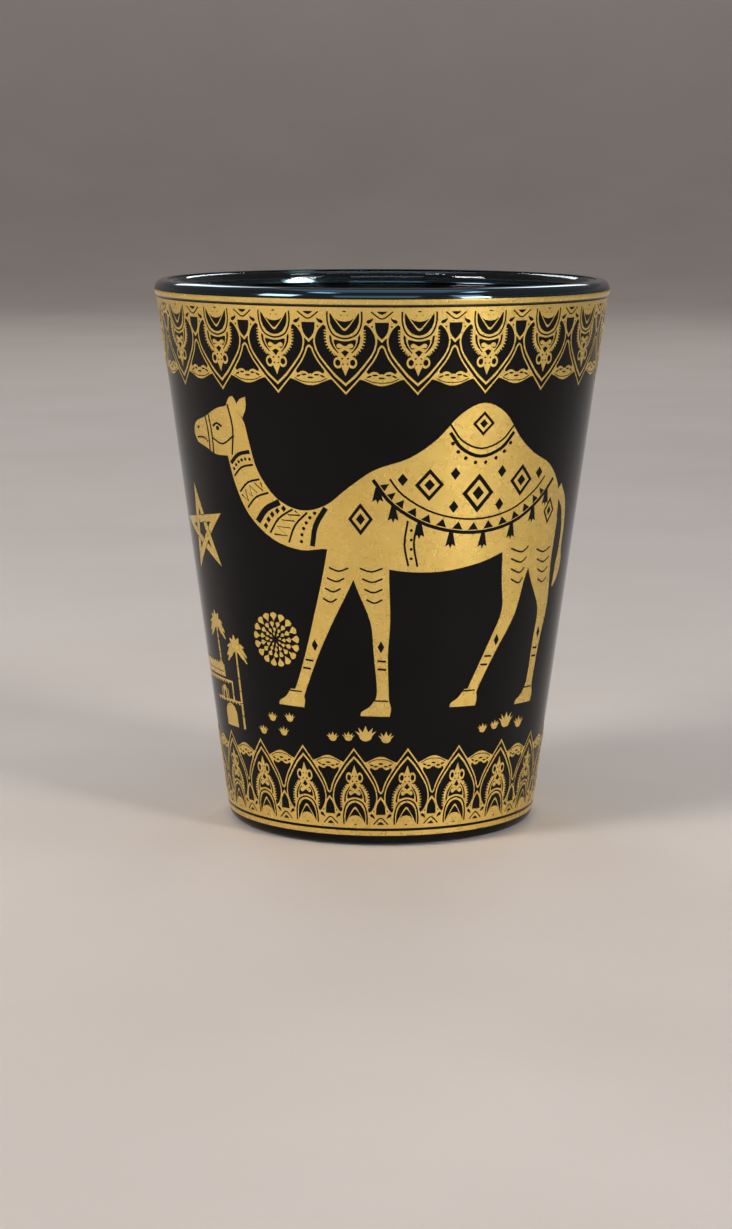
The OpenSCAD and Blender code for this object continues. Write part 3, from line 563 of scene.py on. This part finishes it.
def camel_layers():
    out = []

    def gold(p):
        out.append((1, np.array(p, float)))

    def dark(p):
        out.append((-1, np.array(p, float)))

    def line(p, w, n=3):
        dark(ribbon(p, w, n))

    def dots(places, r):
        for x, y in places:
            dark(disc(x, y, r))

    def lozenge(x, y, a, b, rings=3):
        for i in range(rings):
            share = 1 - i / rings * 0.95
            out.append((1 if i % 2 else -1, np.array([(0, b), (a, 0), (0, -b), (-a, 0)]) * share
                        + [x, y]))

    def body():
        gold(chain([HEAD, EAR, EAR_BACK, BACK, BELLY, JAW], 4))
        gold(chain(FAR_EAR, 3))
        for p, w in LEGS:
            gold(limb([(x, y, q) for (x, y), q in zip(p, w)]))
        gold(limb(TAIL))
        for x, y in FEET:
            gold(chain(FOOT, 3) + [x, y])
            line(np.array(FETLOCK) + [x, y], FETLOCK_W, 1)

    def head():
        line([(4.9, 40.6), (5.8, 41.1), (6.8, 40.7)], 0.34)
        dots([(5.9, 40.4)], 0.36)
        line([(1.0, 40.1), (1.6, 40.3)], 0.35, 1)
        line([(0.6, 38.7), (2.4, 38.8), (3.4, 38.3)], HAIR_W)
        line([(3.3, 42.2), (3.7, 39.6), (3.6, 36.6)], FINE_W)
        line([(4.1, 42.6), (4.5, 39.6), (4.4, 36.2)], FINE_W)
        line([(4.4, 39.0), (6.6, 38.2), (9.0, 39.6)], HAIR_W)
        line([(8.3, 44.0), (8.9, 40.6), (8.3, 36.8)], FINE_W)

    def zigzag(high, low, n=9):
        ends = neck_row(*high, n, 0.45), neck_row(*low, n, 0.45)
        line([ends[i % 2][i] for i in range(n)], HAIR_W, 1)

    def neck():
        for nape, throat, w in NECK:
            line(neck_row(nape, throat, 3, 0.35), w)
        dots(neck_row((12.0, 36.7), (7.8, 34.5), 6), 0.24)
        zigzag(((13.3, 33.4), (9.0, 31.0)), ((14.2, 32.3), (9.8, 29.6)))
        for x, y in neck_row((16.9, 30.2), (12.6, 26.5), 5, 0.8):
            lozenge(x, y, 0.4, 0.5, 1)
        zigzag(((18.3, 29.8), (14.2, 25.6)), ((19.6, 29.6), (16.2, 24.8)))
        dots(neck_row((21.2, 29.9), (18.4, 24.5), 6), 0.26)

    def blanket():
        line(HEM, HEM_W, 4)
        hem = smooth(HEM, 8)
        up = side(hem)
        if up[len(up) // 2][1] < 0:
            up = -up
        line((hem + up * 1.9)[2:-2:4], 0.28, 2)
        for i in range(3, len(hem) - 4, 3):
            dark([hem[i - 1] + up[i - 1] * 0.35, hem[i + 1] + up[i + 1] * 0.35,
                  hem[i] + up[i] * 1.5])
        for q in hem[2:-1:6]:
            dark(q + TASSEL)

    def saddle_cap():
        line(CAP, HEM_W, 4)
        line([(x, y + 1.1) for x, y in CAP], 0.28, 4)
        dots([(x, y - 0.95) for x, y in smooth(CAP, 4)[1::2]], 0.28)

    def girth():
        line([(33.6, 28.4), (33.2, 25.0), (33.8, 21.9)], FINE_W)
        line([(34.9, 27.8), (34.5, 25.0), (35.1, 21.8)], FINE_W)
        dots([(34.1 + 0.03 * i, 27.0 - 1.35 * i) for i in range(4)], 0.22)

    def legs():
        for i in range(4):
            y = 23.6 - 1.5 * i
            line([(49.8 + 0.2 * i, y), (52.0, y - 0.7), (53.4 - 0.2 * i, y)], HAIR_W)
            y = 23.0 - 1.5 * i
            line([(55.3 + 0.4 * i, y), (57.2 + 0.25 * i, y - 0.6), (59.0, y)], HAIR_W)
            y = 21.6 - 1.5 * i
            line([(27.0 + 0.3 * i, y), (28.6 + 0.15 * i, y - 0.5), (30.2, y)], HAIR_W)
            line([(22.6 - 0.35 * i, y), (24.0 - 0.45 * i, y - 0.5), (25.4 - 0.6 * i, y)], HAIR_W)
        for x, y in BRACELETS:
            line([(x - BRACELET_W / 2, y), (x + BRACELET_W / 2, y - 0.1)], FINE_W, 1)
        for x, y in SHIN_LOZENGES:
            lozenge(x, y, 0.5, 0.9, 1)

    body()
    head()
    neck()
    blanket()
    saddle_cap()
    for row in BIG_LOZENGES:
        lozenge(*row)
    for x, y in SMALL_LOZENGES:
        lozenge(x, y, 0.7, 0.9, 1)
    girth()
    legs()
    return out


def laid_on_wall(layers, angle, z, mid=0):
    """Flat layers in mm about (0, 0), laid on the wall at an angle and height."""
    k = math.radians(wall_r(z + mid))
    v, f = painted([(sign, np.asarray(p, float) + [0, z]) for sign, p in layers], STEP_DEG * k)
    v[:, 0] = v[:, 0] / k + angle
    return v, f


def twice(parts):
    """The picture is on the front and again on the back."""
    return [(v + [turn, 0], f) for v, f in parts for turn in (0, 180)]


# Small figures. Angles are in degrees from the front.
STAR_R = 6.8
STAR_BAND = 1.05
STAR_TURN = 8
STAR_ANGLE = -64.5
STAR_SHARE = 0.555      # height of its middle, as a share of the glass's height
STAR_CUT = 0.13         # width of the dark cuts where one band passes under another


def star_layers(r=STAR_R, w=STAR_BAND):
    """Star of five crossed bands, whose outer edges pass its middle at one distance."""
    edge = r * math.cos(math.radians(72))
    to_corner = 1 / math.cos(math.radians(36))
    tip = r - w / math.sin(math.radians(18))
    half = (tip - edge) * math.tan(math.radians(18))
    out = [(1, [at(edge * to_corner if i % 2 else r, 36 * i) for i in range(10)]),
           (-1, [at((edge - w) * to_corner, 36 + 72 * i) for i in range(5)])]
    x0 = edge * math.tan(math.radians(36)) - w * 1.05
    x1 = edge * math.tan(math.radians(36)) + 0.1
    y0, y1 = edge - STAR_CUT / 2, edge + STAR_CUT / 2
    under = np.array([(x0, y0), (x1, y0), (x1, y1), (x0, y1)])
    for i in range(5):
        out.append((-1, turned([(0, tip), (half, edge), (-half, edge)], -72 * i)))
        out.append((-1, turned(under, -72 * i)))
        out.append((-1, turned(under - [0, w], -72 * i)))
    return [(sign, turned(p, STAR_TURN)) for sign, p in out]


ROSETTE_R = 4.0
ROSETTE_ANGLE = -34.3
ROSETTE_SHARE = 0.374   # height of its middle, as a share of the glass's height
# Rings of petals: inner and outer end and width, as shares of the radius, number, first angle
PETAL_RINGS = [(0.66, 1.0, 0.27, 17, 0), (0.42, 0.67, 0.18, 15, 9), (0.25, 0.44, 0.13, 12, 0),
               (0.12, 0.26, 0.08, 8, 12)]


def petal(r0, r1, w, angle):
    """A petal from r0 to r1, widest near its outer end, anticlockwise from straight up."""
    t = np.linspace(0, 1, 9)
    half = w / 2 * np.sin(np.pi * t ** 2.2) ** 0.7
    y = r0 + (r1 - r0) * t
    return turned(np.vstack([np.stack([half, y], 1), np.stack([-half, y], 1)[::-1][1:-1]]), angle)


def rosette_layers(r=ROSETTE_R):
    return [(1, petal(r0 * r, r1 * r, w * r, 360 / n * i + first))
            for r0, r1, w, n, first in PETAL_RINGS for i in range(n)]


# Palms and house. They stand on the lower border's points.
POINT_SHARE = 1.05      # how high the points reach, as a share of the border's height
STAND_GAP = 0.3
GROUND_Z = FOOT_GAP + BORDER_H * POINT_SHARE + STAND_GAP
GROVE_ANGLE = -61
PALM_H = 14.0
FROND_L = 2.35
FROND_W = 0.62
SERRATION = 1.35        # how much wider every other point of a frond is
TRUNK_FOOT = 0.25       # half widths of the trunk
TRUNK_TOP = 0.16
TRUNK_RINGS = 5
RING_REACH = 0.5        # half width of the dark rings, and how far each one rises across it
RING_RISE = 0.12
DATE_R = 0.22
DATES = (-0.35, 0.1, 0.4)
DATE_DROP = 0.35
# Fronds: angle and sag
FRONDS = [(12, 1.5), (38, 1.1), (68, 0.5), (95, 0.3), (122, 0.6), (148, 1.1), (170, 1.6),
          (-18, 1.2), (198, 1.3)]
# Palms: place, foot and top, as shares of the palm's height
PALMS = [(-0.079, 0.63, 1.08), (0.252, 0.0, 0.864)]
# House, in the same shares. A box is left, bottom, right and top.
HOUSE = [(-0.6, 0.521, -0.016, 0.65), (-0.6, 0.472, 0.12, 0.495), (0.097, 0.28, 0.12, 0.48),
         (-0.28, 0.268, 0.252, 0.29), (-0.16, 0.28, -0.145, 0.4), (-0.013, 0.28, 0.002, 0.4)]
ROOF_LINE = (-0.6, 0.565, -0.03, 0.575)
# Rows of teeth: first one's left, bottom, top, width, number
TEETH = [(-0.6, 0.65, 0.668, 0.033, 9), (-0.58, 0.455, 0.472, 0.025, 10),
         (-0.265, 0.252, 0.268, 0.025, 8)]
TOOTH_PITCH = 0.066
# Niche, the dark in it, and the door: middle, foot, half width, top, sign
ARCHES = [(-0.079, 0.28, 0.045, 0.43, 1), (-0.079, 0.28, 0.02, 0.37, -1),
          (0.016, 0.0, 0.12, 0.245, 1)]


def frond(x, y, angle, sag):
    """A serrated leaf that hangs more towards its tip."""
    t = np.linspace(0, 1, 6)
    line = np.stack([x + FROND_L * t * math.cos(math.radians(angle)),
                     y + FROND_L * t * math.sin(math.radians(angle)) - sag * t * t], 1)
    half = FROND_W / 2 * np.sin(np.pi * np.clip(t, 0.04, 0.97)) ** 0.6
    half[1::2] *= SERRATION
    return both_sides(line, side(line) * half[:, None])


def palm_layers(x, y, top):
    """Ringed trunk, fronds and dates."""
    out = [(1, [(x - TRUNK_FOOT, y), (x + TRUNK_FOOT, y), (x + TRUNK_TOP, top),
                (x - TRUNK_TOP, top)])]
    x0, x1 = x - RING_REACH, x + RING_REACH
    for i in range(1, TRUNK_RINGS + 1):
        ring = y + (top - y) * i / (TRUNK_RINGS + 1.5)
        out.append((-1, [(x0, ring), (x1, ring + RING_RISE), (x1, ring + 2 * RING_RISE),
                         (x0, ring + RING_RISE)]))
    out += [(1, frond(x, top - 0.1, angle, sag)) for angle, sag in FRONDS]
    return out + [(1, disc(x + dx, top - DATE_DROP, DATE_R, n=8)) for dx in DATES]


def grove_layers(h=PALM_H):
    out = []

    def box(x0, y0, x1, y1, sign=1):
        out.append((sign, np.array([(x0, y0), (x1, y0), (x1, y1), (x0, y1)]) * h))

    def arch(x, y, w, top, sign):
        """A round-headed shape from y up to top."""
        r = min(w, top - y)
        t = np.linspace(0, math.pi, 13)
        head = np.stack([x + w * np.cos(t), top - r + r * np.sin(t)], 1)
        out.append((sign, np.vstack([[(x - w, y), (x + w, y)], head]) * h))

    for row in HOUSE:
        box(*row)
    box(*ROOF_LINE, -1)
    for x, y0, y1, w, n in TEETH:
        for i in range(n):
            box(x + TOOTH_PITCH * i, y0, x + w + TOOTH_PITCH * i, y1)
    for row in ARCHES:
        arch(*row)
    for x, y, top in PALMS:
        out += palm_layers(x * h, y * h, top * h)
    return out


# Tufts of grass: angle, height over the ground and size, both in the biggest tuft's heights
TUFT_H = 2.3
TUFTS = [(-38.2, 0.95, 0.6), (-31.2, 1.05, 0.6), (-42.8, 0, 0.6), (-34, 0.1, 0.6),
         (-16, 0.05, 0.6), (-10.7, 0.1, 0.6), (-5, 0.1, 1), (1.7, 0, 0.75), (35.7, 0.3, 0.6),
         (40.8, 0.4, 0.6), (46, 0.4, 1), (53, 0.2, 0.75)]
BLADES = [(-0.42, 0.38), (-0.66, 0.66), (-0.36, 0.52), (-0.44, 0.88), (-0.17, 0.58), (0, 1),
          (0.17, 0.58), (0.44, 0.88), (0.36, 0.52), (0.66, 0.66), (0.42, 0.38), (0.34, 0.16),
          (0.18, 0.03), (0, 0), (-0.18, 0.03), (-0.34, 0.16)]


def tuft_parts():
    return [laid_on_wall([(1, np.array(BLADES) * TUFT_H * size)], angle, GROUND_Z + z * TUFT_H)
            for angle, z, size in TUFTS]


# Materials. Noise scales are per metre, and bump heights are in metres.

def new_material(name):
    mat = bpy.data.materials.new(name)
    mat.use_nodes = True
    return mat, mat.node_tree.nodes, mat.node_tree.links, mat.node_tree.nodes["Principled BSDF"]


def noise(nodes, links, scale, detail, stretch=(1, 1, 1)):
    place = nodes.new("ShaderNodeTexCoord")
    stretched = nodes.new("ShaderNodeMapping")
    stretched.inputs["Scale"].default_value = stretch
    cloud = nodes.new("ShaderNodeTexNoise")
    cloud.inputs["Scale"].default_value = scale
    cloud.inputs["Detail"].default_value = detail
    links.new(place.outputs["Object"], stretched.inputs["Vector"])
    links.new(stretched.outputs["Vector"], cloud.inputs["Vector"])
    return cloud.outputs["Fac"]


def ramp(nodes, links, source, *stops):
    """A colour ramp through stops of (position, colour)."""
    node = nodes.new("ShaderNodeValToRGB")
    stop_list = node.color_ramp.elements
    while len(stop_list) < len(stops):
        stop_list.new(0.5)
    for stop, (position, color) in zip(stop_list, stops):
        stop.position = position
        stop.color = (*color, 1)
    links.new(source, node.inputs["Fac"])
    return node.outputs["Color"]


def span(nodes, links, source, low, high, source_max=1):
    """Maps a value from 0 to source_max onto low to high."""
    node = nodes.new("ShaderNodeMapRange")
    node.inputs["From Max"].default_value = source_max
    node.inputs["To Min"].default_value = low
    node.inputs["To Max"].default_value = high
    links.new(source, node.inputs["Value"])
    return node.outputs["Result"]


def bump(nodes, links, source, bsdf, strength, height):
    node = nodes.new("ShaderNodeBump")
    node.inputs["Strength"].default_value = strength
    node.inputs["Distance"].default_value = height
    links.new(source, node.inputs["Height"])
    links.new(node.outputs["Normal"], bsdf.inputs["Normal"])


def gold_material():
    """Fired gold: satin, a little clouded, with a fine grain."""
    mat, nodes, links, bsdf = new_material("fired_gold")
    bsdf.inputs["Metallic"].default_value = 1.0
    cloud = noise(nodes, links, 260, 3)
    tone = ramp(nodes, links, cloud, (0.3, (0.87, 0.61, 0.165)), (0.55, (0.90, 0.645, 0.185)),
                (0.75, (0.93, 0.685, 0.205)))
    links.new(tone, bsdf.inputs["Base Color"])
    grain = noise(nodes, links, 900, 2)
    links.new(span(nodes, links, grain, 0.23, 0.33), bsdf.inputs["Roughness"])
    bump(nodes, links, grain, bsdf, 0.08, 0.00002)
    return mat


def lacquer_material(name, gloss, tint=(1, 1, 1)):
    """Black lacquer, with the faint waves that a sprayed coat has."""
    mat, nodes, links, bsdf = new_material(name)
    cloud = noise(nodes, links, 90, 3)
    tone = ramp(nodes, links, cloud, (0.3, (0.0016, 0.0016, 0.0018)), (0.7, (0.003, 0.003, 0.003)))
    links.new(tone, bsdf.inputs["Base Color"])
    bsdf.inputs["Specular IOR Level"].default_value = gloss
    # A tint other than white paints coloured reflections; the lip's copy uses a blue one for
    # painted blue highlights
    bsdf.inputs["Specular Tint"].default_value = (*tint, 1)
    wave = noise(nodes, links, 160, 2)
    links.new(span(nodes, links, wave, 0.05, 0.12), bsdf.inputs["Roughness"])
    bump(nodes, links, wave, bsdf, 0.08, 0.00004)
    return mat


def glass_material():
    """Pressed glass, with faint upright waves."""
    mat, nodes, links, bsdf = new_material("pressed_glass")
    bsdf.inputs["Base Color"].default_value = (0.93, 0.97, 0.97, 1)
    bsdf.inputs["Transmission Weight"].default_value = 1.0
    bsdf.inputs["IOR"].default_value = 1.5
    wave = noise(nodes, links, 120, 2, stretch=(1, 1, 0.4))
    links.new(span(nodes, links, wave, 0.0, 0.03), bsdf.inputs["Roughness"])
    bump(nodes, links, wave, bsdf, 0.06, 0.0001)
    return mat


def floor_material():
    """Pale floor, paler where it sweeps up into the backdrop."""
    mat, nodes, links, bsdf = new_material("pale_floor")
    cloud = noise(nodes, links, 14, 5)
    tone = ramp(nodes, links, cloud, (0.3, (0.56, 0.468, 0.408)), (0.7, (0.60, 0.505, 0.445)))
    place = nodes.new("ShaderNodeTexCoord")
    height = nodes.new("ShaderNodeSeparateXYZ")
    links.new(place.outputs["Object"], height.inputs["Vector"])
    mix = nodes.new("ShaderNodeMix")
    mix.data_type = "RGBA"
    links.new(span(nodes, links, height.outputs["Z"], 0, 1, 0.5), mix.inputs["Factor"])
    links.new(tone, mix.inputs["A"])
    mix.inputs["B"].default_value = (0.92, 0.80, 0.75, 1)
    links.new(mix.outputs["Result"], bsdf.inputs["Base Color"])
    bsdf.inputs["Roughness"].default_value = 0.7
    bsdf.inputs["Specular IOR Level"].default_value = 0.2
    return mat


GOLD = gold_material()
GLASS = glass_material()
LACQUER = lacquer_material("black_lacquer", 0.13)
# The thick lip's lacquer is a second copy of the same lacquer with a painted sheen: its gloss is
# far stronger than the wall's and its reflections are tinted blue, as painted blue highlights
LIP_LACQUER_PAINTED_SHEEN = lacquer_material("black_lacquer_lip_painted_sheen", 0.95, (0.5, 0.8, 1.0))


def add(obj, mat, node):
    """Gives a piece its material, puts it under the root body, and hides the CAD node that it
    stands for.
    """
    obj.data.materials.append(mat)
    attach(obj, "root")
    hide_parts(node)


def make_lip_line():
    """Gold line round the bead, just above the crease."""
    r = BEAD_R + GOLD_SEAT
    low = CREASE_Z + LINE_GAP - BEAD_Z
    a0 = math.degrees(math.asin(low / r))
    a1 = math.degrees(math.asin((low + LINE_W) / r))
    section = (arc(BEAD_X, BEAD_Z, r + GOLD_T, a0, a1, LINE_STEPS)
               + arc(BEAD_X, BEAD_Z, r, a1, a0, LINE_STEPS))
    return lathe("lip_gold", section, LINE_SEG)


def make_foot_line():
    """Gold line round the foot, just below the gap under the lower border."""
    high = FOOT_GAP - LINE_GAP
    low = high - LINE_W
    face = GOLD_SEAT + GOLD_T
    section = [wall_point(low, GOLD_SEAT), wall_point(low, face), wall_point(high, face),
               wall_point(high, GOLD_SEAT)]
    return lathe("foot_gold", section, LINE_SEG)


def print_film(name, *parts):
    return film(name, twice(parts))


add(make_glass(), GLASS, "glass_tumbler")
wall_coat, lip_coat, base_patch = make_lacquer()
add(wall_coat, LACQUER, "black_skin")
add(lip_coat, LIP_LACQUER_PAINTED_SHEEN, "black_skin")
add(base_patch, LACQUER, "black_skin")
add(make_lip_line(), GOLD, "lip_line")
add(make_foot_line(), GOLD, "foot_line")
add(make_border("upper_lace", CREASE_Z, -1, UPPER_LINE_SHARE), GOLD, "upper_border")
add(make_border("lower_lace", FOOT_GAP, 1, LOWER_LINE_SHARE), GOLD, "lower_border")
camel = laid_on_wall(camel_layers(), CAMEL_TURN, CAMEL_Z, CAMEL_MID)
star = laid_on_wall(star_layers(), STAR_ANGLE, STAR_SHARE * GLASS_H)
rosette = laid_on_wall(rosette_layers(), ROSETTE_ANGLE, ROSETTE_SHARE * GLASS_H)
grove = laid_on_wall(grove_layers(), GROVE_ANGLE, GROUND_Z)
add(print_film("camel_print", camel), GOLD, "camels")
add(print_film("star_print", star), GOLD, "stars")
add(print_film("rosette_print", rosette), GOLD, "rosettes")
add(print_film("grove_print", grove), GOLD, "palm_groves")
add(print_film("tuft_print", *tuft_parts()), GOLD, "grass_tufts")

# Stage: a round floor that sweeps up far away, so that no edge of it shows from any side
STAGE_RINGS = (0, 300, 900)     # radii of the flat floor's rings of points
STAGE_R = 1400          # where it starts to sweep up
STAGE_DROP = 0.1        # how far it lies under the foot
STAGE_SEG = 96
STAGE_SHARP = 60
SWEEP_R = 700
SWEEP_END = -6          # angle at which the sweep ends, where 0 is upright
SWEEP_STEPS = 14
sweep = [(r, -STAGE_DROP) for r in STAGE_RINGS]
sweep += arc(STAGE_R, SWEEP_R - STAGE_DROP, SWEEP_R, -90, SWEEP_END, SWEEP_STEPS)
floor = lathe("floor", sweep, STAGE_SEG, STAGE_SHARP, closed=False)
floor.data.materials.append(floor_material())

world = bpy.data.worlds.new("studio")
world.use_nodes = True
world.node_tree.nodes["Background"].inputs["Color"].default_value = (0.80, 0.80, 0.82, 1)
world.node_tree.nodes["Background"].inputs["Strength"].default_value = 0.22
bpy.context.scene.world = world

# Lamps: name, place, what it points at, width, height, watts, colour, spread in degrees
DAYLIGHT = (0.88, 0.95, 1.0)
SKY_BLUE = (0.62, 0.82, 1.0)
PANE_BLUE = (0.74, 0.88, 1.0)
LAMPS = [
    ("key", (-0.66, -0.46, 0.48), (0.03, 0, 0.03), 0.28, 0.28, 4.9, (1.0, 0.975, 0.94), 180),
    ("front", (-0.05, -1.0, 0.56), (0, 0, 0.06), 0.8, 0.40, 1.5, (0.72, 0.87, 1.0), 180),
    ("low", (0.66, -0.62, 0.24), (0, 0, 0.045), 0.24, 0.20, 0.38, (1.0, 0.95, 0.88), 40),
    ("window_left", (-0.42, 1.05, 0.80), (0, 0, 0.07), 0.36, 0.44, 2.8, DAYLIGHT, 180),
    ("window_right", (0.36, 1.10, 0.80), (0, 0, 0.07), 0.26, 0.44, 2.2, DAYLIGHT, 180),
    ("pane_front", (0.56, -0.56, 0.46), (0, 0, 0.08), 0.22, 0.28, 0.9, SKY_BLUE, 180),
    ("pane_left", (-0.33, -0.30, 0.92), (0, 0, 0.08), 0.16, 0.10, 0.7, PANE_BLUE, 180),
    ("pane_right", (0.46, -0.10, 0.92), (0, 0, 0.08), 0.16, 0.10, 0.7, PANE_BLUE, 180),
    ("sky", (0, 0.08, 1.05), (0, 0, 0.08), 0.75, 0.75, 1.9, (0.55, 0.78, 1.0), 180),
]


def aim(obj, direction):
    """Turns a lamp or camera to look along a direction, with its top up."""
    obj.rotation_mode = "QUATERNION"
    obj.rotation_quaternion = direction.to_track_quat("-Z", "Y")


for name, place, target, width, height, watts, color, spread in LAMPS:
    lamp = bpy.data.lights.new(name, "AREA")
    lamp.shape = "RECTANGLE"
    lamp.size = width
    lamp.size_y = height
    lamp.energy = watts
    lamp.color = color
    lamp.spread = math.radians(spread)
    lamp_object = bpy.data.objects.new(name, lamp)
    bpy.context.scene.collection.objects.link(lamp_object)
    lamp_object.location = place
    lamp_object.visible_camera = False
    aim(lamp_object, Vector(target) - Vector(place))

# Camera, measured in the photograph: distance and height in mm, angles in degrees, focal
# length in the photograph's pixels
CAM_DISTANCE = 434.5
CAM_Z = CREASE_Z + 21.6
CAM_DOWN = 9.05
CAM_RIGHT = -0.30
CAM_ROLL = 0.10
FOCAL_PX = 2948.0
PHOTO_H_PX = 1229
SENSOR_H = 24.0
lens = bpy.data.cameras.new("camera")
lens.sensor_fit = "VERTICAL"
lens.sensor_height = SENSOR_H
lens.lens = FOCAL_PX * SENSOR_H / PHOTO_H_PX
lens.clip_start = 0.01
lens.clip_end = 10
camera = bpy.data.objects.new("camera", lens)
bpy.context.scene.collection.objects.link(camera)
camera.location = (0, -CAM_DISTANCE * MM, CAM_Z * MM)
flat = math.cos(math.radians(CAM_DOWN))
aim(camera, Vector((math.sin(math.radians(CAM_RIGHT)) * flat,
                    math.cos(math.radians(CAM_RIGHT)) * flat,
                    -math.sin(math.radians(CAM_DOWN)))))
camera.rotation_quaternion @= Quaternion((0, 0, 1), math.radians(CAM_ROLL))
bpy.context.scene.camera = camera
bpy.context.scene.view_settings.view_transform = "Standard"
